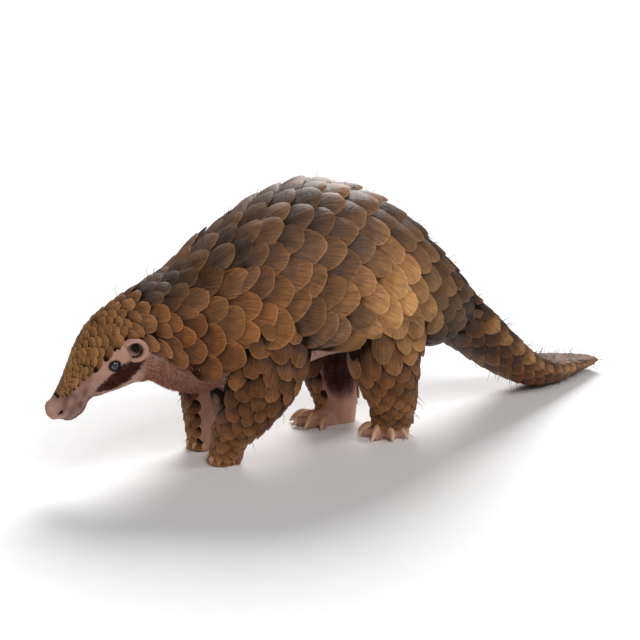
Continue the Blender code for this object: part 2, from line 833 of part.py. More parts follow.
def build_head(trunk, end):
    """The head with its ears and eyes."""
    place = trunk.place
    plates = Plating(place["muzzle"] - 0.001, end, 8, (50, 64, 74, 84, 96), 1.25, 0.22, False, 7)
    front = [
        place["muzzle"] - 0.006, place["nostrils"] + 0.003,
        place["nostrils"] - 0.002, 0.0035, 0.0,
    ]
    head = add_object("head", PlatedMesh(trunk, plates).build(front, (), SNOUT_TIP))
    joined, cuts, others = [], [], []
    for side, word in ((1, "left"), (-1, "right")):
        more, less = head_pieces(trunk, side)
        joined += more
        cuts += less
        ear = ear_flap(trunk, side)
        cuts.append(grown(ear))
        eye = ellipsoid(
            place_frame(trunk, EYE_PLACE, side) @ Matrix.Translation((0, 0, -EYE_SUNK)),
            (EYE_RADIUS,) * 3, 12, 8,
        )
        eye.name = f"eye_{word}"
        paint(eye, "eye")
        others += [ear, eye]
    combine(head, joined, "UNION")
    combine(head, cuts, "DIFFERENCE")
    paint(head, "scales")
    return [head] + others


def build_body(trunk, head_end, neck_end):
    neck_plates = Plating(head_end + GAP, neck_end, 10, (96, 104, 116, 124), 1.15, 0.2, True, 7)
    neck = add_object("neck", PlatedMesh(trunk, neck_plates).build(), "scales")
    torso_plates = Plating(
        neck_end + GAP, trunk.length, 12, (124, 128, 130, 128, 124), 1.15, 0.2, True, 7,
        free_end=True,
    )
    torso = add_object("torso", PlatedMesh(trunk, torso_plates).build(), "scales")
    return neck, torso


def build_tail(torso):
    tube = body_tube(TAIL)
    plates = Plating(0.006, tube.length - 0.004, 8, (180,), 1.45, 0.2, False, 0, True)
    tail = add_object("tail", PlatedMesh(tube, plates).build([0.0], [tube.length]), "scales")
    combine(tail, clearance([torso]) + [floor_slab()], "DIFFERENCE")
    return tail


def centre_on_floor(objects):
    """Moves the model so that the middle of its box's underside is the origin."""
    points = [vertex.co for obj in objects for vertex in obj.data.vertices]
    low = Vector([min(p[axis] for p in points) for axis in range(3)])
    high = Vector([max(p[axis] for p in points) for axis in range(3)])
    shift = Vector(((low.x + high.x) / 2, (low.y + high.y) / 2, low.z))
    for obj in objects:
        obj.data.transform(Matrix.Translation(-shift))


def main():
    for obj in list(bpy.data.objects):
        bpy.data.objects.remove(obj)
    trunk = body_tube(TRUNK)
    head_end = trunk.place["nape"] - 0.004
    neck_end = trunk.place["shoulders"]
    objects = build_head(trunk, head_end)
    neck, torso = build_body(trunk, head_end, neck_end)
    objects += [neck, torso, build_tail(torso)]
    for name, joints in LEGS.items():
        objects += leg(name, leg_tube(joints), FEET[name], (torso, neck))
    centre_on_floor(objects)


main()
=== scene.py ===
"""A life-size walking Chinese pangolin, dressed for its picture.

Body, tail and legs are tubes of oval sections, in the sizes that the solids have. One skin is
fused over them, and on it lie separate overlapping scales, short hair, bristles, ears, eyes
and claws. Metres, +Z up, the head towards -Y, the animal's left side towards +X.
"""

import json
import logging
import math
from dataclasses import dataclass, field
from enum import Enum
from typing import Any, Callable

import bpy
import numpy as np
from mathutils import Matrix, Vector
from mathutils.bvhtree import BVHTree
from mathutils.kdtree import KDTree

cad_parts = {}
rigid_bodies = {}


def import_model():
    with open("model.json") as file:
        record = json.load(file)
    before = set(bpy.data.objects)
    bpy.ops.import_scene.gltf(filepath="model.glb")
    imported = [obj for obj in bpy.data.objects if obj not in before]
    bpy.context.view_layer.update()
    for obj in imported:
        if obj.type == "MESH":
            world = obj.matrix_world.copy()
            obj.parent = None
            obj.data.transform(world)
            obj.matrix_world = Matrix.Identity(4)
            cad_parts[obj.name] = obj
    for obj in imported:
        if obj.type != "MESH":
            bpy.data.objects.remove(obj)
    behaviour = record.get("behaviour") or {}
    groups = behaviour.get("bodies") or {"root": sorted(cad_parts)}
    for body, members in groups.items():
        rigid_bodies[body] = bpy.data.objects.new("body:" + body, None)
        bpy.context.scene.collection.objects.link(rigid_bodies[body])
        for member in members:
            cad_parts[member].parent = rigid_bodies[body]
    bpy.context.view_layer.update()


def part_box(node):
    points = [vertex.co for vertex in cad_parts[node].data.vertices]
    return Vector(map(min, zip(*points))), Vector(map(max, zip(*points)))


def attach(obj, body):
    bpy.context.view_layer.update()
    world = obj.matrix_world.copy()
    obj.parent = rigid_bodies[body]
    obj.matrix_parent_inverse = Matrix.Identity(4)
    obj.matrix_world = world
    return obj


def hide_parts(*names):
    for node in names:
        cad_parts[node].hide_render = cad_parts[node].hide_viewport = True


LOG = logging.getLogger("pangolin")
BODY = "root"
Array = np.ndarray
Socket = bpy.types.NodeSocket
Growth = Callable[[np.ndarray, np.ndarray, np.ndarray], np.ndarray]


class Slot(Enum):
    """The record's material slots."""

    SCALES = "scaled_skin"
    SKIN = "bare_skin"
    EYE = "eye"
    CLAW = "claw"


class Part(Enum):
    """The tubes that the body is made of, numbered for a vertex's nearest one."""

    TRUNK = 0
    TAIL = 1
    FORELEG_LEFT = 2
    FORELEG_RIGHT = 3
    HINDLEG_LEFT = 4
    HINDLEG_RIGHT = 5

    @property
    def is_leg(self) -> bool:
        """Whether this is one of the four legs."""
        return self.value >= 2

    @property
    def side(self) -> int:
        """1 on the animal's left, -1 on its right."""
        return -1 if self.name.endswith("RIGHT") else 1


@dataclass(frozen=True)
class Slice:
    """One slice of the body, from the middle of the back to the middle of the belly."""

    name: str
    back_y: float
    back_z: float
    belly_y: float
    belly_z: float
    half_width: float
    side_x: float = 0.0


@dataclass(frozen=True)
class LegSlice:
    """One slice of a leg: its centre and its half sizes across and along the body."""

    name: str
    x: float
    y: float
    z: float
    half_across: float
    half_along: float


@dataclass(frozen=True)
class FootPlan:
    """A foot's middle on the ground, its direction, half sizes, toes and claws."""

    x: float
    y: float
    turn_deg: float
    half_width: float
    half_length: float
    height: float
    toe_spread_deg: float
    toe_reach: float
    toe_radius: float
    claw_length: float
    claw_radius: float
    curled: bool


TRUNK = [
    Slice("nose_tip", -0.3252, 0.0795, -0.3225, 0.0640, 0.0080),
    Slice("nostrils", -0.3186, 0.0882, -0.3140, 0.0592, 0.0112),
    Slice("muzzle", -0.3096, 0.1048, -0.3000, 0.0626, 0.0133),
    Slice("chin", -0.3020, 0.1205, -0.2900, 0.0722, 0.0155),
    Slice("bridge", -0.2947, 0.1318, -0.2815, 0.0768, 0.0183),
    Slice("eyes", -0.2840, 0.1440, -0.2665, 0.0800, 0.0230),
    Slice("ears", -0.2600, 0.1590, -0.2460, 0.0850, 0.0300),
    Slice("nape", -0.2340, 0.1705, -0.2320, 0.0860, 0.0375),
    Slice("throat", -0.2050, 0.1815, -0.2120, 0.0745, 0.0475),
    Slice("shoulders", -0.1710, 0.2020, -0.1870, 0.0680, 0.0600),
    Slice("withers", -0.1300, 0.2265, -0.1510, 0.0670, 0.0705),
    Slice("ribs", -0.0870, 0.2445, -0.1040, 0.0740, 0.0770),
    Slice("arch", -0.0420, 0.2515, -0.0520, 0.0850, 0.0800),
    Slice("loin", 0.0070, 0.2375, -0.0060, 0.0830, 0.0790),
    Slice("rump", 0.0520, 0.2095, 0.0330, 0.0760, 0.0735),
    Slice("haunch", 0.0910, 0.1750, 0.0690, 0.0800, 0.0630),
    Slice("tail_root", 0.1240, 0.1420, 0.0970, 0.0860, 0.0500),
]

TAIL = [
    Slice("inside", 0.0920, 0.1640, 0.0700, 0.1000, 0.0380),
    Slice("root", 0.1200, 0.1430, 0.1000, 0.0870, 0.0440),
    Slice("first", 0.1570, 0.1130, 0.1370, 0.0660, 0.0440, -0.002),
    Slice("second", 0.1960, 0.0800, 0.1800, 0.0390, 0.0410, -0.006),
    Slice("third", 0.2330, 0.0530, 0.2230, 0.0170, 0.0370, -0.012),
    Slice("fourth", 0.2700, 0.0370, 0.2650, 0.0030, 0.0330, -0.020),
    Slice("fifth", 0.3080, 0.0300, 0.3060, -0.0012, 0.0275, -0.030),
    Slice("sixth", 0.3440, 0.0235, 0.3430, 0.0020, 0.0215, -0.039),
    Slice("tip", 0.3790, 0.0165, 0.3790, 0.0050, 0.0140, -0.047),
]

LEGS = {
    Part.FORELEG_LEFT: [
        LegSlice("root", 0.030, -0.118, 0.155, 0.026, 0.036),
        LegSlice("shoulder", 0.046, -0.124, 0.128, 0.032, 0.041),
        LegSlice("upper_arm", 0.053, -0.134, 0.099, 0.029, 0.038),
        LegSlice("elbow", 0.050, -0.147, 0.070, 0.025, 0.032),
        LegSlice("forearm", 0.041, -0.157, 0.044, 0.020, 0.023),
        LegSlice("wrist", 0.031, -0.164, 0.024, 0.016, 0.016),
        LegSlice("knuckles", 0.026, -0.166, -0.006, 0.013, 0.012),
    ],
    Part.FORELEG_RIGHT: [
        LegSlice("root", -0.030, -0.138, 0.150, 0.024, 0.032),
        LegSlice("shoulder", -0.044, -0.143, 0.122, 0.027, 0.032),
        LegSlice("upper_arm", -0.046, -0.149, 0.095, 0.024, 0.027),
        LegSlice("elbow", -0.040, -0.153, 0.068, 0.020, 0.022),
        LegSlice("forearm", -0.033, -0.156, 0.044, 0.018, 0.019),
        LegSlice("wrist", -0.028, -0.158, 0.024, 0.016, 0.017),
        LegSlice("knuckles", -0.026, -0.158, -0.006, 0.014, 0.014),
    ],
    Part.HINDLEG_LEFT: [
        LegSlice("root", 0.034, 0.012, 0.142, 0.026, 0.034),
        LegSlice("hip", 0.047, 0.006, 0.116, 0.030, 0.040),
        LegSlice("thigh", 0.051, 0.002, 0.090, 0.027, 0.039),
        LegSlice("knee", 0.050, 0.008, 0.063, 0.023, 0.029),
        LegSlice("shank", 0.046, 0.015, 0.040, 0.020, 0.023),
        LegSlice("ankle", 0.041, 0.018, 0.020, 0.019, 0.020),
        LegSlice("heel", 0.037, 0.019, -0.006, 0.018, 0.018),
    ],
    Part.HINDLEG_RIGHT: [
        LegSlice("root", -0.034, 0.012, 0.142, 0.026, 0.034),
        LegSlice("hip", -0.047, 0.006, 0.116, 0.029, 0.038),
        LegSlice("thigh", -0.047, 0.002, 0.090, 0.026, 0.034),
        LegSlice("knee", -0.042, -0.001, 0.063, 0.022, 0.031),
        LegSlice("shank", -0.037, 0.001, 0.040, 0.019, 0.027),
        LegSlice("ankle", -0.034, 0.003, 0.020, 0.018, 0.022),
        LegSlice("heel", -0.032, 0.002, -0.006, 0.017, 0.018),
    ],
}

FEET = {
    Part.FORELEG_LEFT: FootPlan(
        0.0255, -0.1650, 10, 0.0125, 0.0135, 0.023, 30, 0.0105, 0.0046, 0.0210, 0.0038, True
    ),
    Part.FORELEG_RIGHT: FootPlan(
        -0.0260, -0.1570, 10, 0.0130, 0.0150, 0.022, 30, 0.0120, 0.0044, 0.0210, 0.0038, True
    ),
    Part.HINDLEG_LEFT: FootPlan(
        0.0370, 0.0150, 28, 0.0200, 0.0235, 0.019, 37, 0.0185, 0.0062, 0.0170, 0.0036, False
    ),
    Part.HINDLEG_RIGHT: FootPlan(
        -0.0320, -0.0120, 6, 0.0185, 0.0290, 0.019, 27, 0.0240, 0.0062, 0.0170, 0.0036, False
    ),
}

EYEBALL = 0.0050
EYE_SUNK = 0.0024
EYE_PLACE = ("eyes", 0.0, 96.0)
EAR_PLACE = ("ears", -0.0042, 89.5)
NOSTRIL_PLACE = ("nose_tip", 0.0028, 112.0)
MOUTH_ANGLES_DEG = (158.0, 146.0, 137.0, 128.0)
SNOUT_TIP = (0.0, -0.3312, 0.0712)
SNOUT_PAD = ((0.0, -0.3222, 0.0690), (0.0090, 0.0084, 0.0080))
TOE_SIZES = (0.82, 1.0, 1.08, 1.0, 0.8)
LID_THICKNESS = 0.0007
EYE_OPENING, EYE_OPENING_ENDS = 0.00395, 0.00045

# How far over the floor the lowest skin, scales and hairs stay
SKIN_CLEAR, SCALE_CLEAR, HAIR_CLEAR = 0.0004, 0.0006, 0.0008

# Where the scaly coat ends round the body: places along the tube, and degrees from the back
HEAD_EDGE = (
    (0.0035, 34.0), (0.0085, 51.0), (0.0170, 63.0), (0.0280, 72.0), (0.0380, 79.0),
    (0.0465, 82.0), (0.0545, 80.0), (0.0625, 76.0), (0.0695, 72.5), (0.0760, 70.0),
    (0.0830, 70.0), (0.0900, 75.0), (0.0960, 86.0), (0.1050, 94.0),
)
NECK_EDGE = ((0.1050, 92.0), (0.1185, 105.0), (0.1325, 110.0), (0.1495, 118.0), (0.1660, 124.0))
TORSO_EDGE = (
    (0.1660, 124.0), (0.2500, 128.0), (0.3300, 130.0), (0.4000, 128.0), (0.4690, 128.0),
    (0.5000, 132.0),
)


# Small tools


def linear(hex_colour: str) -> tuple[float, float, float, float]:
    """Turns an sRGB hex colour into linear light.

    Args:
        hex_colour: Six hex digits after a hash.

    Returns:
        Linear red, green, blue and an alpha of 1.
    """
    parts = [int(hex_colour[i : i + 2], 16) / 255 for i in (1, 3, 5)]
    light = [c / 12.92 if c <= 0.04045 else ((c + 0.055) / 1.055) ** 2.4 for c in parts]
    return (light[0], light[1], light[2], 1.0)


def set_inputs(tree: bpy.types.NodeTree, made: bpy.types.Node, inputs: dict) -> None:
    """Sets a node's inputs, by name or number, or links them where a socket is given."""
    for key, value in inputs.items():
        if isinstance(value, Socket):
            tree.links.new(value, made.inputs[key])
        else:
            made.inputs[key].default_value = value


def add_node(
    tree: bpy.types.NodeTree, kind: str, inputs: dict | None = None, **settings: Any
) -> bpy.types.Node:
    """Adds one node with its settings, values and links.

    Args:
        tree: The node tree that takes the node.
        kind: The node's type name.
        inputs: Values, or sockets to link from, by input name or number.
        **settings: Properties of the node.

    Returns:
        The new node.
    """
    made = tree.nodes.new(kind)
    for key, value in settings.items():
        setattr(made, key, value)
    set_inputs(tree, made, inputs or {})
    return made


def smoothstep(low: float, high: float, value: Array) -> Array:
    """A soft step from 0 at low to 1 at high."""
    t = np.clip((value - low) / (high - low), 0.0, 1.0)
    return t * t * (3 - 2 * t)


def unit(vectors: Array) -> Array:
    """Vectors along the last axis, brought to length 1."""
    return vectors / np.maximum(np.linalg.norm(vectors, axis=-1, keepdims=True), 1e-12)


def select_only(obj: bpy.types.Object) -> None:
    """Deselects everything, then selects one object and makes it active."""
    for other in bpy.context.view_layer.objects:
        other.select_set(False)
    obj.select_set(True)
    bpy.context.view_layer.objects.active = obj


def apply_modifier(obj: bpy.types.Object, kind: str, **settings: Any) -> None:
    """Adds a modifier to an object and applies it.

    Args:
        obj: The object.
        kind: The modifier's type name.
        **settings: Properties of the modifier.
    """
    modifier = obj.modifiers.new("shape", kind)
    for key, value in settings.items():
        setattr(modifier, key, value)
    select_only(obj)
    bpy.ops.object.modifier_apply(modifier=modifier.name)


def vertex_places(mesh: bpy.types.Mesh) -> Array:
    """A mesh's vertex places as rows of three."""
    places = np.empty(len(mesh.vertices) * 3, np.float32)
    mesh.vertices.foreach_get("co", places)
    return places.reshape(-1, 3).astype(float)


def vertex_normals(mesh: bpy.types.Mesh) -> Array:
    """A mesh's vertex normals as rows of three."""
    normals = np.empty(len(mesh.vertices) * 3, np.float32)
    mesh.vertex_normals.foreach_get("vector", normals)
    return normals.reshape(-1, 3).astype(float)


def moved(places: Array, matrix: Matrix) -> Array:
    """Places taken through a matrix."""
    rows = np.array(matrix)
    return places @ rows[:3, :3].T + rows[:3, 3]


def set_places(mesh: bpy.types.Mesh, places: Array) -> None:
    """Moves a mesh's vertices."""
    mesh.vertices.foreach_set("co", places.astype(np.float32).ravel())
    mesh.update()


def set_mark(mesh: bpy.types.Mesh, name: str, values: Array) -> None:
    """Keeps one number for each vertex under a name that a material can read."""
    mark = mesh.attributes.get(name) or mesh.attributes.new(name, "FLOAT", "POINT")
    mark.data.foreach_set("value", np.asarray(values, np.float32))


def set_map(mesh: bpy.types.Mesh, name: str, corners: Array) -> None:
    """Gives a mesh a UV map from one row of two numbers for each face corner."""
    layer = mesh.uv_layers.new(name=name)
    layer.data.foreach_set("uv", corners.astype(np.float32).ravel())


def make_object(name: str, places: Array, faces: list) -> bpy.types.Object:
    """Links a new mesh object with these vertices and faces."""
    mesh = bpy.data.meshes.new(name)
    mesh.from_pydata(places.tolist(), [], faces)
    obj = bpy.data.objects.new(name, mesh)
    bpy.context.scene.collection.objects.link(obj)
    return obj


def ring_faces(count: int, around: int) -> list[list[int]]:
    """The faces of a closed body made of rings in a row, with a cap on either end."""
    faces = [
        [i * around + j, i * around + (j + 1) % around,
         (i + 1) * around + (j + 1) % around, (i + 1) * around + j]
        for i in range(count - 1) for j in range(around)
    ]
    last = (count - 1) * around
    return [*faces, list(range(around))[::-1], list(range(last, last + around))]


def face_outwards(obj: bpy.types.Object) -> None:
    """Turns every closed shell's faces outwards."""
    select_only(obj)
    bpy.ops.object.mode_set(mode="EDIT")
    bpy.ops.mesh.select_all(action="SELECT")
    bpy.ops.mesh.normals_make_consistent(inside=False)
    bpy.ops.object.mode_set(mode="OBJECT")


def shade(obj: bpy.types.Object, degrees: float = 180.0) -> None:
    """Shades smoothly across edges flatter than an angle."""
    select_only(obj)
    if degrees >= 180.0:
        bpy.ops.object.shade_smooth()
    else:
        bpy.ops.object.shade_smooth_by_angle(angle=math.radians(degrees))


def fade_noise(places: Array, size: float, seed: int) -> Array:
    """Smooth noise of about -1 to 1 from a few waves in fixed random directions.

    Args:
        places: Rows of three, in metres.
        size: The length of the longest wave, in metres.
        seed: Fixes the directions.

    Returns:
        One value a row.
    """
    waves, shortening, steadying = 9, 0.07, 3.2
    draw = np.random.default_rng(seed)
    total = np.zeros(len(places))
    for i in range(waves):
        direction = unit(draw.normal(size=3)) * 2 * math.pi / (size * (1.0 - shortening * i))
        total += np.sin(places @ direction + draw.uniform(0, 2 * math.pi))
    return total / steadying


# The body's form


class Curve:
    """A cubic Hermite curve through values at knots, with finite-difference slopes."""

    def __init__(self, knots: Array, values: Array) -> None:
        """Keeps the knots, the values and the slopes at them."""
        self.knots = np.asarray(knots, float)
        self.values = np.asarray(values, float)
        self.slopes = np.gradient(self.values, self.knots, axis=0)

    def __call__(self, at: Array) -> Array:
        """The values at places along the curve."""
        i = np.clip(np.searchsorted(self.knots, at) - 1, 0, len(self.knots) - 2)
        span = self.knots[i + 1] - self.knots[i]
        t = (at - self.knots[i]) / span
        if self.values.ndim > 1:
            span, t = span[..., None], t[..., None]
        return (
            (2 * t**3 - 3 * t**2 + 1) * self.values[i]
            + (t**3 - 2 * t**2 + t) * span * self.slopes[i]
            + (3 * t**2 - 2 * t**3) * self.values[i + 1]
            + (t**3 - t**2) * span * self.slopes[i + 1]
        )


class Tube:
    """A smooth row of oval sections.

    An angle of 0 is the crown line: the middle of the back, or the outer side of a leg. On
    the body 90 degrees is the animal's left.
    """

    def __init__(
        self, names: list, centres: Array, crowns: Array, reaches: list, widths: list,
        squareness: float, curl: float = 0.0,
    ) -> None:
        """Fits curves through the sections. A curl lifts the side edges towards the crown."""
        centres = np.array(centres, float)
        steps = np.linalg.norm(np.diff(centres, axis=0), axis=1)
        knots = np.concatenate([[0.0], np.cumsum(steps)])
        self.place = dict(zip(names, knots))
        self.length = float(knots[-1])
        self.centre = Curve(knots, centres)
        self.crown = Curve(knots, np.array(crowns))
        self.reach = Curve(knots, np.array(reaches))
        self.width = Curve(knots, np.array(widths))
        self.power = 2.0 / squareness
        self.curl = curl

    @classmethod
    def of_body(
        cls, slices: list[Slice], squareness: float = 2.25, curl: float = 0.0
    ) -> "Tube":
        """A tube whose sections span from back points to belly points."""
        back = np.array([[i.side_x, i.back_y, i.back_z] for i in slices])
        belly = np.array([[i.side_x, i.belly_y, i.belly_z] for i in slices])
        reaches = np.linalg.norm(back - belly, axis=1) / 2
        return cls(
            [i.name for i in slices], (back + belly) / 2, unit(back - belly), reaches,
            [i.half_width for i in slices], squareness, curl,
        )

    @classmethod
    def of_leg(cls, slices: list[LegSlice]) -> "Tube":
        """A tube down a leg, with its crown line on the outer side."""
        centres = np.array([[i.x, i.y, i.z] for i in slices])
        out = np.array([math.copysign(1.0, slices[0].x), 0.0, 0.0])
        runs = unit(np.gradient(centres, axis=0))
        crowns = unit(out - runs * (runs @ out)[:, None])
        return cls(
            [i.name for i in slices], centres, crowns, [i.half_across for i in slices],
            [i.half_along for i in slices], 2.1,
        )

    def points(self, s: Array, angle: Array, lift: Array | float = 0.0) -> tuple[Array, Array]:
        """Places on the surface and the outward directions there.

        Args:
            s: Places along the tube, in metres. Past an end the tube runs on straight.
            angle: Angles from the crown line, in radians.
            lift: Heights over the surface.

        Returns:
            The places and the unit outward directions, as rows of three.
        """
        s, angle = np.broadcast_arrays(np.asarray(s, float), np.asarray(angle, float))
        held = np.clip(s, 0.0, self.length)
        step = self.length * 1e-3
        ahead = self.centre(np.minimum(held + step, self.length))
        along = unit(ahead - self.centre(np.maximum(held - step, 0.0)))
        crown = unit(self.crown(held))
        side = unit(np.cross(along, crown))
        reach, width = self.reach(held)[..., None], self.width(held)[..., None]
        cosine, sine = np.cos(angle), np.sin(angle)
        up = (np.sign(cosine) * np.abs(cosine) ** self.power)[..., None]
        out = (np.sign(sine) * np.abs(sine) ** self.power)[..., None]
        outward = unit(crown * up / reach + side * out / width)
        up = up + self.curl * np.abs(out) ** 3
        place = self.centre(held) + along * (s - held)[..., None]
        place = place + crown * up * reach + side * out * width
        return place + outward * np.asarray(lift)[..., None], outward

    def point(self, s: float, angle: float, lift: float = 0.0) -> Vector:
        """One place on the surface."""
        return Vector(self.points(np.array([s]), np.array([angle]), np.array([lift]))[0][0])

    def surface_frame(self, s: float, angle: float) -> Matrix:
        """A matrix at a place on the surface: X round the tube, Y along it, Z outward."""
        here = self.point(s, angle)
        along = (self.point(s + 0.001, angle) - self.point(s - 0.001, angle)).normalized()
        around = (self.point(s, angle + 0.01) - self.point(s, angle - 0.01)).normalized()
        outward = around.cross(along).normalized()
        if outward.dot(here - Vector(self.centre(np.array([s]))[0])) < 0:
            outward = -outward
        around = along.cross(outward)
        frame = Matrix((around, along, outward)).transposed().to_4x4()
        frame.translation = here
        return frame

    def loft(self, steps: int, around: int, nose: Array | None = None) -> tuple[Array, list]:
        """A closed body over the whole tube.

        Args:
            steps: How many rings there are.
            around: How many vertices a ring has.
            nose: A point that the front end is domed towards.

        Returns:
            Vertex places and faces.
        """
        s = np.linspace(0.0, self.length, steps)
        angles = np.linspace(0.0, 2 * math.pi, around, endpoint=False)
        rings = list(self.points(s[:, None], angles[None, :])[0])
        if nose is not None:
            middle = rings[0].mean(axis=0)
            for turn in np.radians([20, 40, 58, 72, 83]):
                cap = middle + (nose - middle) * math.sin(turn)
                rings.insert(0, cap + (self.points(0.0, angles)[0] - middle) * math.cos(turn))
        return np.concatenate(rings), ring_faces(len(rings), around)


@dataclass
class Anatomy:
    """The tubes, and how the picture frame's solids are moved from them."""

    trunk: Tube = field(default_factory=lambda: Tube.of_body(TRUNK))
    tail: Tube = field(default_factory=lambda: Tube.of_body(TAIL, 1.55, 0.55))
    tubes: dict[Part, Tube] = field(init=False)
    spine: Tube = field(init=False)
    shift: Array = field(init=False)

    def __post_init__(self) -> None:
        """Builds the leg tubes and measures the shift at the left eye."""
        self.tubes = {Part.TRUNK: self.trunk, Part.TAIL: self.tail}
        self.tubes |= {part: Tube.of_leg(slices) for part, slices in LEGS.items()}
        self.spine = Tube.of_body([*TRUNK, *TAIL[2:]])
        low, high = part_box("eye_left")
        middle = self.head_place(EYE_PLACE, 1) @ Vector((0.0, 0.0, -EYE_SUNK))
        self.shift = np.array(middle - (low + high) / 2)

    def head_place(self, place: tuple[str, float, float], side: int) -> Matrix:
        """The frame on the head's surface at a named place, on one side."""
        name, offset, degrees = place
        return self.trunk.surface_frame(
            self.trunk.place[name] + offset, side * math.radians(degrees)
        )

    def toes(self, part: Part) -> list[tuple[Vector, Vector, float]]:
        """For each toe of a foot its knuckle point, its direction and its size."""
        foot, side, toes = FEET[part], part.side, []
        for i, size in enumerate(TOE_SIZES):
            turn = math.radians(foot.turn_deg + (i - 2) * foot.toe_spread_deg)
            toward = Vector((side * math.sin(turn), -math.cos(turn), 0.0))
            reach = foot.toe_reach * (0.9 + 0.1 * size)
            toes.append((Vector((foot.x, foot.y, 0.0)) + toward * reach, toward, size))
        return toes

    def ride(self, obj: bpy.types.Object, slot: Slot, nodes: list[str]) -> None:
        """Moves a piece into the solids' frame, binds it and hides the solids that it replaces.

        Args:
            obj: The finished piece, in the tubes' frame.
            slot: Not used.
            nodes: The solids that it replaces.
        """
        set_places(obj.data, vertex_places(obj.data) - self.shift)
        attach(obj, BODY)
        if nodes:
            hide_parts(*nodes)
        obj.data.calc_loop_triangles()
        LOG.info("%s: %d triangles", obj.name, len(obj.data.loop_triangles))


# Finishes


@dataclass(frozen=True)
class Nodes:
    """The node tree of one material, with short ways to add what a finish needs."""

    tree: bpy.types.NodeTree

    def add(self, kind: str, inputs: dict | None = None, **settings: Any) -> Any:
        """Adds one node, as add_node does."""
        return add_node(self.tree, kind, inputs, **settings)

    def mark(self, name: str) -> Socket:
        """Reads a number that the mesh keeps."""
        return self.add("ShaderNodeAttribute", attribute_name=name).outputs["Fac"]

    def place(self) -> Socket:
        """The place on the piece, in metres."""
        return self.add("ShaderNodeTexCoord").outputs["Object"]

    def grain(self) -> tuple[Socket, Socket]:
        """Places from 0 to 1 across and along a scale or a claw."""
        grain = self.add("ShaderNodeUVMap", uv_map="Grain").outputs["UV"]
        split = self.add("ShaderNodeSeparateXYZ", {0: grain})
        return split.outputs[0], split.outputs[1]

    def point(self, *values: Any) -> Socket:
        """Puts up to three numbers together."""
        return self.add("ShaderNodeCombineXYZ", dict(enumerate(values))).outputs[0]

    def math(self, kind: str, *values: Any) -> Socket:
        """Works out one number from others."""
        return self.add("ShaderNodeMath", dict(enumerate(values)), operation=kind).outputs[0]

    def times(self, first: Any, second: Any) -> Socket:
        """One number times another."""
        return self.math("MULTIPLY", first, second)

    def scaled(self, value: Any, factor: Any, offset: Any) -> Socket:
        """A number times a factor, plus an offset."""
        return self.math("MULTIPLY_ADD", value, factor, offset)

    def inverse(self, value: Any) -> Socket:
        """What a number lacks to 1."""
        return self.math("SUBTRACT", 1.0, value)

    def ramp(self, value: Any, low: float, high: float) -> Socket:
        """A soft step from 0 at low to 1 at high."""
        return self.add(
            "ShaderNodeMapRange", {0: value, 1: low, 2: high}, interpolation_type="SMOOTHSTEP"
        ).outputs[0]

    def noise(self, where: Any, scale: float, detail: float = 3.0) -> Socket:
        """Noise with so many waves a metre, or a unit of the map."""
        return self.add(
            "ShaderNodeTexNoise",
            {"Vector": where, "Scale": scale, "Detail": detail, "Roughness": 0.55},
        ).outputs["Fac"]

    def blend(self, factor: Any, first: Any, second: Any, mode: str = "MIX") -> Socket:
        """Mixes two colours by a factor, each a socket or an sRGB hex colour."""
        first, second = (linear(i) if isinstance(i, str) else i for i in (first, second))
        return self.add(
            "ShaderNodeMix", {0: factor, 6: first, 7: second}, data_type="RGBA", blend_type=mode
        ).outputs[2]

    def shaded(self, colour: Any, share: float, grey: Any) -> Socket:
        """Multiplies a colour by a grey value, to a share."""
        return self.blend(share, colour, self.point(grey, grey, grey), "MULTIPLY")

    def bump(self, height: Any, strength: float, depth: float) -> Socket:
        """Turns a height pattern of a depth in metres into a surface direction."""
        return self.add(
            "ShaderNodeBump", {"Height": height, "Strength": strength, "Distance": depth}
        ).outputs[0]


class Finish:
    """A material that follows the marks kept on the meshes."""

    def inputs(self, nodes: Nodes) -> dict[str, Any]:
        """Lays the nodes and gives what goes into the shader, by input name."""
        raise NotImplementedError

    def material(self, name: str) -> bpy.types.Material:
        """Builds the material.

        Args:
            name: The material's name.

        Returns:
            The material.
        """
        material = bpy.data.materials.new(name)
        material.use_nodes = True
        tree = material.node_tree
        set_inputs(tree, tree.nodes["Principled BSDF"], self.inputs(Nodes(tree)))
        return material


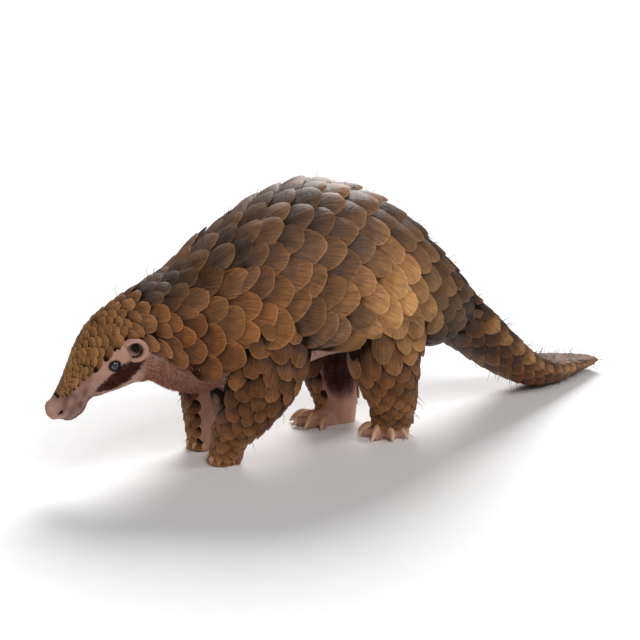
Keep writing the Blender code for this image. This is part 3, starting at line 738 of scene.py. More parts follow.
@dataclass(frozen=True)
class KeratinScale(Finish):
    """Horn scales, as they grow: greyish brown plates with fine lengthwise ridges.

    Keratin is dull and slightly waxy. The middle of a plate stays dark and scuffed, its free
    edge wears thin and shows light tan, and ridges about 0.6 mm apart run to that edge. A
    painted highlight lightens the middle of the part that shows, the thin line on the very edge
    is partly wear and partly a painted highlight, and painted shade darkens the scale towards
    its root and sides, where its neighbours overlap it.
    """

    core: str = "#56453b"
    core_warm: str = "#52301a"
    # The pale colours go where the pale mark is high; on the lower flank and along the tail's keel
    # that paleness is partly the scales' own colour and partly a painted highlight.
    core_pale: str = "#9c6c40"
    rim: str = "#765840"
    rim_warm: str = "#834c22"
    rim_pale: str = "#bd8d59"
    # The thin line on the very edge: partly wear, partly a painted highlight along the rim.
    rim_wear_and_highlight: str = "#c9a477"
    # Painted shade, towards each scale's root and sides where its neighbours overlap it.
    crevice_shade: str = "#100a06"
    roughness: float = 0.47
    ior: float = 1.54
    ridges: float = 27.0
    growth_lines: float = 62.0

    def inputs(self, nodes: Nodes) -> dict[str, Any]:
        """Lays ridges, worn rims with a thin painted highlight on the edge, painted highlights on
        the middles and painted shade in the crevices over one another.
        """
        across, along = nodes.grain()
        tone, warmth, pale, umbo = map(nodes.mark, ("tone", "warmth", "pale", "umbo"))
        place = nodes.place()
        sideways = nodes.math("SUBTRACT", across, 0.5)
        fan = nodes.math("DIVIDE", sideways, nodes.scaled(along, 0.75, 0.30))
        apart = nodes.times(tone, 41.0)
        lines = nodes.point(nodes.times(fan, self.ridges), nodes.times(along, 2.2), apart)
        ridge = nodes.noise(lines, 1.0, 4.0)
        patch = nodes.noise(place, 95.0, 4.0)
        speck = nodes.noise(place, 420.0)

        core = nodes.blend(warmth, self.core, self.core_warm)
        core = nodes.blend(pale, core, self.core_pale)
        rim = nodes.blend(warmth, self.rim, self.rim_warm)
        rim = nodes.blend(pale, rim, self.rim_pale)

        sideways = nodes.times(nodes.math("ABSOLUTE", sideways), 2.0)
        edge = nodes.math("MAXIMUM", along, nodes.times(sideways, 0.97))
        worn = nodes.ramp(nodes.math("ADD", edge, nodes.scaled(ridge, 0.34, -0.17)), 0.66, 1.04)
        colour = nodes.blend(worn, core, rim)
        down = nodes.times(nodes.math("SUBTRACT", along, 0.80), 4.2)
        far = nodes.math(
            "SQRT", nodes.math("ADD", nodes.times(down, down), nodes.times(sideways, sideways))
        )
        # Painted highlight: the middle of the part that shows turns towards the rim colour.
        middle = nodes.times(umbo, nodes.inverse(nodes.ramp(far, 0.05, 0.75)))
        colour = nodes.blend(middle, colour, rim)
        # The thin line on the very edge is partly wear and partly a painted highlight.
        line = nodes.times(nodes.ramp(edge, 0.955, 0.995), 0.55)
        colour = nodes.blend(line, colour, nodes.blend(0.35, rim, self.rim_wear_and_highlight))
        colour = nodes.shaded(colour, 0.85, nodes.scaled(ridge, 1.5, 0.28))
        colour = nodes.shaded(colour, 0.8, nodes.scaled(patch, 1.3, 0.38))
        colour = nodes.shaded(colour, 1.0, nodes.scaled(tone, 0.62, 0.74))
        # Painted shade: darker towards the root and the sides, where the neighbours overlap and
        # shade the scale.
        shown = nodes.scaled(nodes.math("POWER", sideways, 1.4), -0.35, along)
        shown = nodes.scaled(patch, 0.10, shown)
        shade_between_scales = nodes.inverse(nodes.ramp(shown, 0.34, 0.62))

        gloss = nodes.scaled(patch, 0.26, self.roughness - 0.12)
        growth = nodes.math("SINE", nodes.scaled(edge, self.growth_lines, apart))
        height = nodes.scaled(speck, 0.35, nodes.scaled(growth, 0.03, ridge))
        return {
            "Base Color": nodes.blend(nodes.times(shade_between_scales, 0.9), colour, self.crevice_shade),
            "Roughness": nodes.math("ADD", gloss, nodes.times(speck, 0.06)),
            "IOR": self.ior,
            "Specular IOR Level": nodes.scaled(shade_between_scales, -0.15, 0.16),
            "Normal": nodes.bump(height, 0.75, 0.0009),
        }


@dataclass(frozen=True)
class BareSkin(Finish):
    """Living bare skin: soft, pink, matt, with fine creases and greyer worn places.

    Light goes a little way into it, so its shading is soft and its shadows are warm. The
    creases are about 1 mm apart. Painted shade darkens the nostrils, ear hollows, mouth line,
    the lids' rims and the skin under the scales.
    """

    pink: str = "#c69a89"
    flushed: str = "#a56d5b"
    smoky: str = "#5f463e"
    dark: str = "#33120a"
    # Painted shade in the nostrils, ear hollows, mouth line and round the eye opening.
    shade_in_pits: str = "#120706"
    # Painted shade on the skin under the scales.
    shade_under_scales: str = "#2c1e15"
    roughness: float = 0.52
    creases_per_metre: float = 850.0

    def inputs(self, nodes: Nodes) -> dict[str, Any]:
        """Lays blush, smoke, stains, painted shade in the pits and under the scales, and creases
        over one another.
        """
        place = nodes.place()
        cloud = nodes.noise(place, 110.0, 4.0)
        fleck = nodes.noise(place, 900.0)
        blush = nodes.times(nodes.scaled(cloud, 1.6, -0.45), 0.5)
        colour = nodes.blend(blush, self.pink, self.flushed)
        # Smoke and stains are the skin's own colour; the pits and the skin under the scales take
        # painted shade.
        for mark, tint in (
            ("smoke", self.smoky), ("stain", self.dark), ("pit", self.shade_in_pits),
            ("covered", self.shade_under_scales),
        ):
            edge, amount = nodes.scaled(cloud, 0.5, -0.25), nodes.mark(mark)
            colour = nodes.blend(nodes.scaled(edge, amount, amount), colour, tint)
        cells = nodes.add(
            "ShaderNodeTexVoronoi", {"Vector": place, "Scale": self.creases_per_metre},
            feature="DISTANCE_TO_EDGE",
        ).outputs["Distance"]
        stretched = nodes.add(
            "ShaderNodeVectorMath", {0: place, 1: (0.18, 1.0, 0.18)}, operation="MULTIPLY"
        ).outputs[0]
        wrinkle, fold = nodes.noise(place, 260.0, 4.0), nodes.noise(stretched, 520.0)
        height = nodes.scaled(fold, 0.9, nodes.scaled(nodes.ramp(cells, 0.0, 0.22), 0.35, wrinkle))
        return {
            "Base Color": nodes.shaded(colour, 0.6, nodes.scaled(fleck, 0.5, 0.75)),
            "Roughness": nodes.scaled(cloud, 0.2, self.roughness - 0.1),
            "IOR": 1.4,
            "Specular IOR Level": nodes.scaled(nodes.mark("covered"), -0.30, 0.32),
            "Subsurface Weight": 0.25,
            "Subsurface Radius": (1.0, 0.35, 0.2),
            "Subsurface Scale": 0.002,
            "Normal": nodes.bump(height, 0.6, 0.0007),
        }


@dataclass(frozen=True)
class Hair(Finish):
    """Coarse animal hair: round keratin fibres with a soft gloss, darker at the root."""

    root: str = "#220904"
    tip: str = "#561c0c"
    pale: str = "#74371f"
    roughness: float = 0.7

    def inputs(self, nodes: Nodes) -> dict[str, Any]:
        """Blends from root to tip and makes the odd hair paler."""
        along, tone = nodes.mark("along"), nodes.mark("tone")
        colour = nodes.blend(along, self.root, self.tip)
        colour = nodes.blend(nodes.ramp(tone, 0.80, 0.9), colour, self.pale)
        cloud = nodes.scaled(nodes.noise(nodes.place(), 200.0), 0.8, 0.6)
        return {
            "Base Color": nodes.shaded(colour, 0.8, cloud),
            "Roughness": nodes.scaled(tone, 0.15, self.roughness),
            "IOR": 1.55,
            "Specular IOR Level": 0.12,
        }


@dataclass(frozen=True)
class ClawHorn(Finish):
    """Claw horn, worn by walking: smooth, slightly see-through tan with lengthwise streaks."""

    root: str = "#c08b6c"
    middle: str = "#d0a57c"
    tip: str = "#e4c6a0"
    roughness: float = 0.34

    def inputs(self, nodes: Nodes) -> dict[str, Any]:
        """Blends from root to tip, with streaks along the claw."""
        along = nodes.mark("along")
        across, lengthwise = nodes.grain()
        streak = nodes.noise(nodes.point(nodes.times(across, 24.0), lengthwise), 1.0)
        speck = nodes.noise(nodes.place(), 500.0)
        colour = nodes.blend(nodes.ramp(along, 0.0, 0.5), self.root, self.middle)
        colour = nodes.blend(nodes.ramp(along, 0.6, 1.0), colour, self.tip)
        return {
            "Base Color": nodes.shaded(colour, 0.7, nodes.scaled(streak, 0.9, 0.55)),
            "Roughness": nodes.scaled(speck, 0.2, self.roughness - 0.08),
            "IOR": 1.54,
            "Subsurface Weight": 0.12,
            "Subsurface Scale": 0.0015,
            "Normal": nodes.bump(nodes.scaled(streak, 1.0, speck), 0.3, 0.0003),
        }


@dataclass(frozen=True)
class WetEye(Finish):
    """A wet eyeball: dark rim, cloudy grey-blue iris and pupil, under a clear tear film."""

    rim: str = "#0b0908"
    iris: str = "#20282e"
    pupil: str = "#0d1013"

    def inputs(self, nodes: Nodes) -> dict[str, Any]:
        """Rings the pupil with the iris and the dark rim."""
        fibre = nodes.noise(nodes.place(), 900.0, 4.0)
        edge = nodes.math("ADD", nodes.mark("out"), nodes.scaled(fibre, 0.1, -0.05))
        colour = nodes.blend(nodes.ramp(edge, 0.10, 0.34), self.pupil, self.iris)
        return {
            "Base Color": nodes.blend(nodes.ramp(edge, 0.40, 0.56), colour, self.rim),
            "Roughness": 0.12,
            "IOR": 1.38,
            "Coat Weight": 1.0,
            "Coat Roughness": 0.02,
        }


@dataclass(frozen=True)
class StudioPaper(Finish):
    """Matt white background paper, rolled out flat: even, with a trace of fibre mottle."""

    white: str = "#fbfbfb"
    mottled: str = "#f6f6f6"

    def inputs(self, nodes: Nodes) -> dict[str, Any]:
        """Mottles the white a little."""
        cloud = nodes.noise(nodes.place(), 40.0)
        return {
            "Base Color": nodes.blend(cloud, self.white, self.mottled),
            "Roughness": 0.9,
            "Specular IOR Level": 0.1,
        }


# Skin


@dataclass
class Skin:
    """One skin over head, body, tail, legs and feet, with the face modelled into it."""

    anatomy: Anatomy
    voxel: float = 0.0016
    sink: float = 0.0012
    rounds: int = 26
    kept_share: float = 0.29
    sparing: float = 3.0
    obj: bpy.types.Object = field(init=False)
    base: BVHTree = field(init=False)
    where: Array = field(init=False)
    socket: Array = field(init=False)
    pit: Array = field(init=False)

    def build(self) -> bpy.types.Object:
        """Fuses the tubes and feet, smooths them, and adds the face.

        Returns:
            The skin, in the tubes' frame.
        """
        self.obj = self.fuse()
        mesh = self.obj.data
        height = vertex_places(mesh)[:, 2]
        self.relax(self.rounds, 0.5, -0.52, 0.10 + 0.90 * smoothstep(0.022, 0.045, height))
        places = vertex_places(mesh)
        places[:, 2] = np.maximum(places[:, 2], SKIN_CLEAR)
        set_places(mesh, places)
        self.keep_base()
        self.thin_out()
        self.refine()
        self.model_face()
        self.mark()
        shade(self.obj)
        mesh.materials.append(BareSkin().material("bare_skin"))
        return self.obj

    def fuse(self) -> bpy.types.Object:
        """Remeshes all tubes, feet and toes into one closed surface."""
        offset, places, faces = 0, [], []
        for part, tube in self.anatomy.tubes.items():
            if part is Part.TRUNK:
                points, polygons = tube.loft(260, 96, np.array(SNOUT_TIP))
            else:
                points, polygons = tube.loft(120, 72)
            places.append(points)
            faces += [[i + offset for i in polygon] for polygon in polygons]
            offset += len(points)
        obj = make_object("skin", np.concatenate(places), faces)
        for frame, radii in self.balls():
            bpy.ops.mesh.primitive_uv_sphere_add(segments=24, ring_count=14, radius=1.0)
            ball = bpy.context.active_object
            ball.data.transform(frame @ Matrix.Diagonal((*radii, 1.0)))
            select_only(obj)
            ball.select_set(True)
            bpy.ops.object.join()
        face_outwards(obj)
        apply_modifier(obj, "REMESH", mode="VOXEL", voxel_size=self.voxel, adaptivity=0.0)
        return obj

    def balls(self) -> list[tuple[Matrix, tuple[float, float, float]]]:
        """The places and radii of the balls that make the feet, the toes and the snout's pad."""
        balls = []
        for part, foot in FEET.items():
            ground = Matrix.Translation((foot.x, foot.y, 0.0)) @ Matrix.Rotation(
                part.side * math.radians(foot.turn_deg), 4, "Z"
            )
            slim, wide = (1.0, 0.94) if foot.curled else (0.82, 0.86)
            balls.append((
                ground, (foot.half_width * slim, foot.half_length * slim, foot.height * 0.95)
            ))
            for knuckle, toward, size in self.anatomy.toes(part):
                radius = foot.toe_radius * size
                frame = Matrix.Translation(knuckle + Vector((0, 0, radius * 0.85)))
                frame = frame @ Matrix.Rotation(math.atan2(toward.x, -toward.y), 4, "Z")
                balls.append((frame, (radius * wide, radius * 1.85, radius * 1.12)))
        return [*balls, (Matrix.Translation(SNOUT_PAD[0]), SNOUT_PAD[1])]

    def relax(self, rounds: int, ahead: float, back: float, share: Array) -> None:
        """Smooths the skin by turns forward and back, so that it doesn't shrink.

        Args:
            rounds: How many pairs of turns.
            ahead: The share of the way to the neighbours' middle.
            back: The share of the way back.
            share: How much each vertex takes part.
        """
        mesh = self.obj.data
        places = vertex_places(mesh)
        edges = np.empty(len(mesh.edges) * 2, np.int32)
        mesh.edges.foreach_get("vertices", edges)
        ends = np.concatenate([edges.reshape(-1, 2), edges.reshape(-1, 2)[:, ::-1]])
        count = np.bincount(ends[:, 0], minlength=len(places))[:, None]
        for step in (ahead, back) * rounds:
            total = np.stack(
                [np.bincount(ends[:, 0], places[ends[:, 1], i], len(places)) for i in range(3)],
                axis=1,
            )
            places += step * (total / count - places) * share[:, None]
        set_places(mesh, places)

    def keep_base(self) -> None:
        """Keeps the smooth surface that scales are laid on."""
        mesh = self.obj.data
        faces = [tuple(polygon.vertices) for polygon in mesh.polygons]
        self.base = BVHTree.FromPolygons(vertex_places(mesh).tolist(), faces)

    def drape(self, places: Array, outward: Array, reach: float) -> Array:
        """How far the smooth skin lies over places of a tube's own surface.

        Args:
            places: Places on the tube.
            outward: The tube's directions there.
            reach: How far out the look down at the skin starts.

        Returns:
            The heights, and NaN where another part of the body lies over.
        """
        heights = np.full(len(places), np.nan)
        for i, (place, out) in enumerate(zip(places, outward)):
            start = place + out * reach
            found = self.base.ray_cast(Vector(start), Vector(-out), 2 * reach)
            if found[0] is not None:
                heights[i] = reach - found[3]
        return heights

    def tube_places(self) -> None:
        """Finds each vertex's tube, its place along it and its angle."""
        rows, tree_rows = [], []
        for part, tube in self.anatomy.tubes.items():
            step = 0.002 if part is Part.TRUNK else 0.003
            s, angle = np.meshgrid(
                np.arange(0.0, tube.length, step), np.radians(np.arange(-180, 180, 3.0))
            )
            s, angle = s.ravel(), angle.ravel()
            rows.append(tube.points(s, angle)[0])
            tree_rows.append(np.stack([np.full(len(s), part.value), s, angle], axis=1))
        rows, samples = np.concatenate(rows), np.concatenate(tree_rows)
        tree = KDTree(len(rows))
        for i, row in enumerate(rows):
            tree.insert(row, i)
        tree.balance()
        places = vertex_places(self.obj.data)
        near = [tree.find(place)[1] for place in places]
        self.where = samples[near]

    def edge_angle(self, s: Array, part: Part) -> Array:
        """The angle at which the scaly coat ends, in radians."""
        if part is Part.TRUNK:
            knots, degrees = zip(*((0.002, 0.0), *HEAD_EDGE, *NECK_EDGE[1:], *TORSO_EDGE[1:]))
            return np.radians(np.interp(s, knots, degrees))
        if part is Part.TAIL:
            return np.full(np.shape(s), 4.0)
        length = self.anatomy.tubes[part].length
        return np.radians(np.interp(s, [0.0, length * 0.5, length * 0.9], [112, 106, 100]))

    def covered(self) -> Array:
        """How far each vertex lies under the scales, 0 to 1."""
        cover = np.zeros(len(self.where))
        for part in Part:
            here = self.where[:, 0] == part.value
            s, angle = self.where[here, 1], np.abs(self.where[here, 2])
            inside = smoothstep(0.02, -0.05, angle - self.edge_angle(s, part))
            if part.is_leg:
                end = self.anatomy.tubes[part].place
                end = end["ankle"] if "HIND" in part.name else end["wrist"] + 0.010
                inside *= smoothstep(end + 0.003, end - 0.002, s)
            cover[here] = inside
        return cover

    def thin_out(self) -> None:
        """Leaves fewer faces where scales cover the skin, and sinks it there."""
        self.tube_places()
        cover = self.covered()
        mesh = self.obj.data
        set_places(mesh, vertex_places(mesh) - vertex_normals(mesh) * (self.sink * cover)[:, None])
        group = self.obj.vertex_groups.new(name="covered")
        for index in np.nonzero(cover > 0.98)[0].tolist():
            group.add([index], 1.0, "REPLACE")
        apply_modifier(
            self.obj, "DECIMATE", ratio=self.kept_share, vertex_group="covered",
            vertex_group_factor=self.sparing,
        )
        self.obj.vertex_groups.clear()
        places = vertex_places(self.obj.data)
        for i, place in enumerate(places):
            near, normal, _, distance = self.base.find_nearest(Vector(place))
            if distance > 1.6 * self.sink:
                places[i] = near - normal * self.sink
        set_places(self.obj.data, places)

    def refine(self) -> None:
        """Cuts the faces finer round the eyes, ears, nostrils and mouth."""
        for reach, places in (
            (0.013, (EYE_PLACE, EAR_PLACE, NOSTRIL_PLACE)),
            (0.0095, (EYE_PLACE, EAR_PLACE, NOSTRIL_PLACE)),
            (0.0070, (EYE_PLACE, NOSTRIL_PLACE)),
        ):
            centres = [
                np.array(self.anatomy.head_place(place, side).translation)
                for place in places for side in (1, -1)
            ]
            self.cut_near(centres, reach)
        mouth = [*self.mouth_line(1), *self.mouth_line(-1)]
        for reach in (0.004, 0.0025):
            self.cut_near(mouth, reach)

    def cut_near(self, centres: list[Array], reach: float) -> None:
        """Subdivides the faces within reach of any of the centres."""
        mesh = self.obj.data
        middles = np.empty(len(mesh.polygons) * 3, np.float32)
        mesh.polygons.foreach_get("center", middles)
        middles = middles.reshape(-1, 3)
        chosen = np.zeros(len(middles), bool)
        for centre in centres:
            chosen |= ((middles - centre) ** 2).sum(axis=1) < reach**2
        select_only(self.obj)
        bpy.ops.object.mode_set(mode="EDIT")
        bpy.ops.mesh.select_mode(type="FACE")
        bpy.ops.mesh.select_all(action="DESELECT")
        bpy.ops.object.mode_set(mode="OBJECT")
        mesh.polygons.foreach_set("select", chosen)
        bpy.ops.object.mode_set(mode="EDIT")
        bpy.ops.mesh.subdivide(number_cuts=1, smoothness=0.6)
        bpy.ops.object.mode_set(mode="OBJECT")

    def mouth_line(self, side: int) -> Array:
        """Points along the mouth, from below the nostril to its corner."""
        trunk = self.anatomy.trunk
        start, end = trunk.place["nostrils"] - 0.003, trunk.place["chin"] - 0.004
        s = np.linspace(start, end, 26)
        degrees = np.interp(s, np.linspace(start, end, 4), MOUTH_ANGLES_DEG)
        return trunk.points(s, side * np.radians(degrees))[0]

    def model_face(self) -> None:
        """Presses and raises the skin into lids, ear canals, nostrils and lips."""
        mesh = self.obj.data
        places, normals = vertex_places(mesh), vertex_normals(mesh)
        self.socket = np.zeros(len(places))
        self.pit = np.zeros(len(places))
        for side in (1, -1):
            self.model_eye(places, side)
            self.model_nostril(places, normals, side)
            self.model_ear_canal(places, normals, side)
            self.model_mouth(places, normals, side)
        y = places[:, 1]
        chin = smoothstep(-0.2990, -0.2950, y) * smoothstep(-0.2800, -0.2900, y)
        places[:, 2] += 0.0032 * chin * smoothstep(0.1, -0.6, normals[:, 2])
        head = places[:, 1] < -0.262
        fold = fade_noise(places[head], 0.006, 5) * 0.00016
        places[head] += normals[head] * fold[:, None]
        set_places(mesh, places)

    def model_eye(self, places: Array, side: int) -> None:
        """Domes the lids over the eyeball and opens them."""
        frame = self.anatomy.head_place(EYE_PLACE, side)
        spot = moved(places, frame.inverted())
        near = np.nonzero((np.abs(spot) < 0.012).all(axis=1) & (spot[:, 2] > -0.006))[0]
        x, y, z = spot[near].T
        r = np.hypot(x, y)
        turn = np.arctan2(y, x)
        ball, soft = EYEBALL + LID_THICKNESS, 0.0006
        dome = np.sqrt(np.maximum(ball**2 - r**2, 0.0)) - EYE_SUNK
        dome = np.where(r < ball, dome, -0.003)
        height = soft * np.logaddexp(z / soft, dome / soft)
        opening = EYE_OPENING + EYE_OPENING_ENDS * np.abs(np.sin(turn)) ** 3
        inside = smoothstep(0.00010, -0.00040, r - opening)
        eyeball = np.sqrt(np.maximum(EYEBALL**2 - r**2, 0.0)) - EYE_SUNK - 0.0009
        height = height * (1 - inside) + eyeball * inside
        for radius, width, depth in ((0.0066, 0.00038, -0.00045), (0.0084, 0.0006, -0.00030)):
            height += depth * np.exp(-(((r - radius) / width) ** 2))
        height += 0.00030 * np.exp(-(((r - 0.0050) / 0.0005) ** 2))
        blend = smoothstep(0.0115, 0.0085, r)
        spot[near, 2] = z + (height - z) * blend
        # The lids' rim round the opening, which takes the painted shade of the pits.
        self.socket[near] = np.maximum(
            self.socket[near], smoothstep(0.0021, 0.0009, r - opening)
        )
        places[near] = moved(spot[near], frame)

    def model_nostril(self, places: Array, normals: Array, side: int) -> None:
        """Sinks a comma-shaped slit and raises the wing behind it."""
        frame = self.anatomy.head_place(NOSTRIL_PLACE, side)
        spot = moved(places, frame.inverted())
        angle = math.radians(-35.0 * side)
        x = spot[:, 0] * math.cos(angle) + spot[:, 1] * math.sin(angle)
        y = -spot[:, 0] * math.sin(angle) + spot[:, 1] * math.cos(angle)
        y = y + 70.0 * x * x
        near = np.abs(spot[:, 2]) < 0.006
        slit = np.exp(-((x / 0.0031) ** 2) - ((y / 0.00135) ** 2)) * near
        wing = np.exp(-((x / 0.0036) ** 2) - (((y - 0.0024) / 0.0012) ** 2)) * near
        places += normals * (-0.0042 * slit + 0.00090 * wing)[:, None]
        # Painted shade inside the slit.
        self.pit = np.maximum(self.pit, smoothstep(0.20, 0.70, slit))

    def model_ear_canal(self, places: Array, normals: Array, side: int) -> None:
        """Sinks the hollow in front of the ear flap."""
        frame = self.anatomy.head_place(EAR_PLACE, side)
        spot = moved(places, frame.inverted())
        x, y = spot[:, 0], spot[:, 1] - 0.0004
        near = np.abs(spot[:, 2]) < 0.008
        hollow = np.exp(-((x / 0.0062) ** 4) - ((y / 0.0056) ** 4)) * near
        places -= normals * (0.0056 * hollow)[:, None]
        slot = np.exp(-((x / 0.0066) ** 2) - (((y - 0.0012) / 0.0052) ** 2)) * near
        # Painted shade in the hollow.
        self.pit = np.maximum(self.pit, smoothstep(0.20, 0.75, slot))

    def model_mouth(self, places: Array, normals: Array, side: int) -> None:
        """Draws the line of the mouth between two soft lips."""
        line = self.mouth_line(side)
        head = np.nonzero(places[:, 1] < -0.27)[0]
        gaps = np.full(len(head), 1.0)
        for point in line:
            gaps = np.minimum(gaps, np.linalg.norm(places[head] - point, axis=1))
        groove = np.exp(-((gaps / 0.0007) ** 2))
        lips = np.exp(-(((gaps - 0.0017) / 0.0010) ** 2))
        places[head] += normals[head] * (-0.0008 * groove + 0.0004 * lips)[:, None]
        # Painted shade along the groove.
        self.pit[head] = np.maximum(self.pit[head], 0.6 * groove)

    def mark(self) -> None:
        """Keeps the skin's markings on its vertices."""
        self.tube_places()
        mesh = self.obj.data
        places = vertex_places(mesh)
        part, s, angle = self.where.T
        degrees = np.degrees(np.abs(angle))
        trunk = self.anatomy.trunk
        on_trunk = part == Part.TRUNK.value
        place = trunk.place
        smoke, stain = np.zeros(len(places)), np.zeros(len(places))
        snout = on_trunk & (s < place["eyes"])
        smoke[snout] = 0.66 + 0.24 * fade_noise(places[snout], 0.016, 8)
        smoke[snout] *= 0.42 + 0.58 * smoothstep(-0.002, 0.012, s[snout])
        smoke[snout] *= smoothstep(place["eyes"] - 0.004, place["muzzle"] + 0.004, s[snout])
        smoke[on_trunk] += 0.45 * smoothstep(120, 165, degrees[on_trunk]) * smoothstep(
            place["nostrils"], place["chin"], s[on_trunk]
        )
        for patch, depth in ((cheek_patch, 0.85), (throat_patch, 0.10), (neck_fringe, 0.7)):
            grown = depth * patch(trunk, s[on_trunk], degrees[on_trunk])
            stain[on_trunk] = np.maximum(stain[on_trunk], grown)
        for leg in LEGS:
            here = part == leg.value
            stain[here] = 0.9 * thigh_patch(self.anatomy, leg, s[here], degrees[here])
        set_mark(mesh, "smoke", np.clip(smoke, 0, 1))
        set_mark(mesh, "stain", stain)
        # Painted shade in the nostrils, ear hollows, mouth line and round the eye opening.
        set_mark(mesh, "pit", np.maximum(self.pit, self.socket))
        # Painted shade on the skin under the scales, but not round the eye.
        set_mark(mesh, "covered", self.covered() * (1 - self.socket))


def cheek_patch(trunk: Tube, s: Array, degrees: Array) -> Array:
    """Where the dark hair of the cheek grows, 0 to 1.

    Args:
        trunk: The body's tube.
        s: Places along it.
        degrees: Angles from the back, both sides alike.

    Returns:
        The share of full growth.
    """
    start = trunk.place["eyes"]
    knots = start + np.array([-0.023, -0.015, -0.0068, 0.0002, 0.0072, 0.0130, 0.0170, 0.0265])
    top = np.interp(s, knots, [124, 116, 107.5, 104, 99, 99, 101, 104])
    low = np.interp(s, knots, [128, 137, 143, 138, 133, 127, 122, 107])
    inside = smoothstep(-1.5, 2, degrees - top) * smoothstep(2.5, -2.5, degrees - low)
    return inside * smoothstep(knots[0], knots[0] + 0.004, s) * smoothstep(
        knots[-1] + 0.001, knots[-1] - 0.003, s
    )


def throat_patch(trunk: Tube, s: Array, degrees: Array) -> Array:
    """Where the short pale hair of throat and neck grows, 0 to 1."""
    place = trunk.place
    start, end = place["ears"] - 0.004, place["shoulders"] + 0.016
    inside = smoothstep(95, 118, degrees)
    return inside * smoothstep(start, start + 0.008, s) * smoothstep(end, end - 0.02, s)


def neck_fringe(trunk: Tube, s: Array, degrees: Array) -> Array:
    """Where dark hair stands out from under the neck's lowest scales, 0 to 1."""
    place = trunk.place
    start, end = place["ears"] + 0.006, place["shoulders"]
    edge = np.interp(s, *zip(*NECK_EDGE)) + 4
    inside = smoothstep(-6, 0, degrees - edge) * smoothstep(14, 4, degrees - edge)
    return inside * smoothstep(start, start + 0.006, s) * smoothstep(end, end - 0.03, s)


def thigh_patch(anatomy: Anatomy, leg: Part, s: Array, degrees: Array) -> Array:
    """Where dark reddish hair grows inside a leg, 0 to 1."""
    length = anatomy.tubes[leg].length
    share = s / length
    low = 0.80 if "HIND" in leg.name else 0.62
    across = 1 - np.abs(degrees - 172) / 44
    down = smoothstep(low + 0.04, low - 0.10, share + 0.10 * (1 - across) ** 2)
    return smoothstep(0.0, 0.35, across) * down * smoothstep(0.12, 0.2, share)


# Scales


@dataclass(frozen=True)
class PlateShape:
    """The outline and mesh of one kind of scale.

    The outline widens from its root to a widest place and ends in a rounded or pointed arch.
    Across and down run the lines of the mesh, closest at the edges.
    """

    half_lines: int
    rows: tuple[float, ...]
    widest: float
    root_width: float
    arch: tuple[float, float]

    def across(self) -> Array:
        """Line places from -1 to 1, closer towards the sides."""
        half = np.sin(np.linspace(0.0, math.pi / 2, self.half_lines + 1))
        return np.concatenate([-half[:0:-1], half])

    def build(self) -> "Plate":
        """Works out the vertices, faces and corner maps that every such scale shares."""
        u, t = np.meshgrid(self.across(), np.array(self.rows))
        lines, rows = u.shape[1], u.shape[0]
        index = np.arange(u.size).reshape(rows, lines)
        faces = [
            [index[i, j], index[i, j + 1], index[i + 1, j + 1], index[i + 1, j]]
            for i in range(rows - 1) for j in range(lines - 1)
        ]
        rim = list(index[:, 0]) + list(index[-1, 1:]) + list(index[-2::-1, -1])
        under = [u.size + k for k in range(len(rim))]
        faces += [
            [rim[k], rim[k + 1], under[k + 1], under[k]] for k in range(len(rim) - 1)
        ]
        faces.append(list(index[0, :]) + [under[-1], under[0]])
        faces.append(under)
        top = np.stack([u.ravel(), t.ravel()], axis=1)
        below = top[rim]
        uv = np.stack([0.5 + 0.44 * top[:, 0], 0.22 + 0.72 * top[:, 1]], axis=1)
        skirt = np.stack([0.5 + 0.49 * below[:, 0], 0.21 + 0.78 * below[:, 1]], axis=1)
        bottom = np.stack([0.5 + 0.44 * below[:, 0], 0.02 + 0.14 * below[:, 1]], axis=1)
        corners = []
        for face in faces[:-2]:
            corners += [uv[i] if i < u.size else skirt[i - u.size] for i in face]
        corners += [
            [0.1 + 0.8 * k / (lines + 1), 0.185 + 0.008 * (k % 2)] for k in range(lines + 2)
        ]
        corners += list(bottom)
        spot = np.concatenate([top, below])
        return Plate(
            self, spot[:, 0], spot[:, 1], np.arange(len(spot)) >= u.size,
            [[int(i) for i in face] for face in faces], np.array(corners),
        )


@dataclass
class Plate:
    """A scale's mesh in its own coordinates: u across from -1 to 1, t from root to edge."""

    shape: PlateShape
    u: Array
    t: Array
    under: Array
    faces: list[list[int]]
    corners: Array

    def spread(self) -> tuple[Array, Array]:
        """Each vertex's place: lengthwise share of the scale, and half widths sideways."""
        shape = self.shape
        first, second = shape.arch
        end = shape.widest + (1 - shape.widest) * (
            np.maximum(1 - np.abs(self.u) ** first, 0.0) ** (1 / second)
        )
        v = self.t * end
        narrow = shape.root_width + (1 - shape.root_width) * smoothstep(0.0, shape.widest, v)
        return v, self.u * narrow

    def middle(self) -> int:
        """The vertex nearest to the middle of the part of the scale that shows."""
        return int(np.argmin(np.abs(self.t - 0.75) + np.abs(self.u)))


@dataclass(frozen=True)
class CoatPlan:
    """How one stretch of a tube wears its scales.

    half_columns counts half scales from the crown line to the coat's edge, which is given as
    places along the tube with degrees from the crown line. stretch is a row's pitch in half
    columns, and overlap a scale's length in rows. lift, crown and thickness are shares of a
    half column. twist, at random, and sweep, down the sides, turn the scales, in radians.
    Scales bend over another part of the body by up to slope, and those that would be raised
    by more than limit are left out. over lifts those that lie on another part, and tuck
    flattens those that lie under one. No scale grows before the place under[0] and nearer
    than under[1] degrees to the crown line, where another coat lies over. keel folds the
    scales half way round the tube.
    """

    name: str
    part: Part
    start: float
    end: float
    half_columns: int
    edge: tuple[tuple[float, float], ...]
    stretch: float
    overlap: float
    lift: float
    crown: float
    thickness: float
    shape: PlateShape
    full_ring: bool = False
    twist: float = 0.05
    keel: float = 0.0
    wildness: float = 1.0
    width: float = 1.06
    reach: float = 0.012
    limit: float = 0.004
    slope: float = 0.010
    sweep: float = 0.0
    over: float = 0.0
    tuck: float = 0.0
    under: tuple[float, float] = (0.0, 0.0)


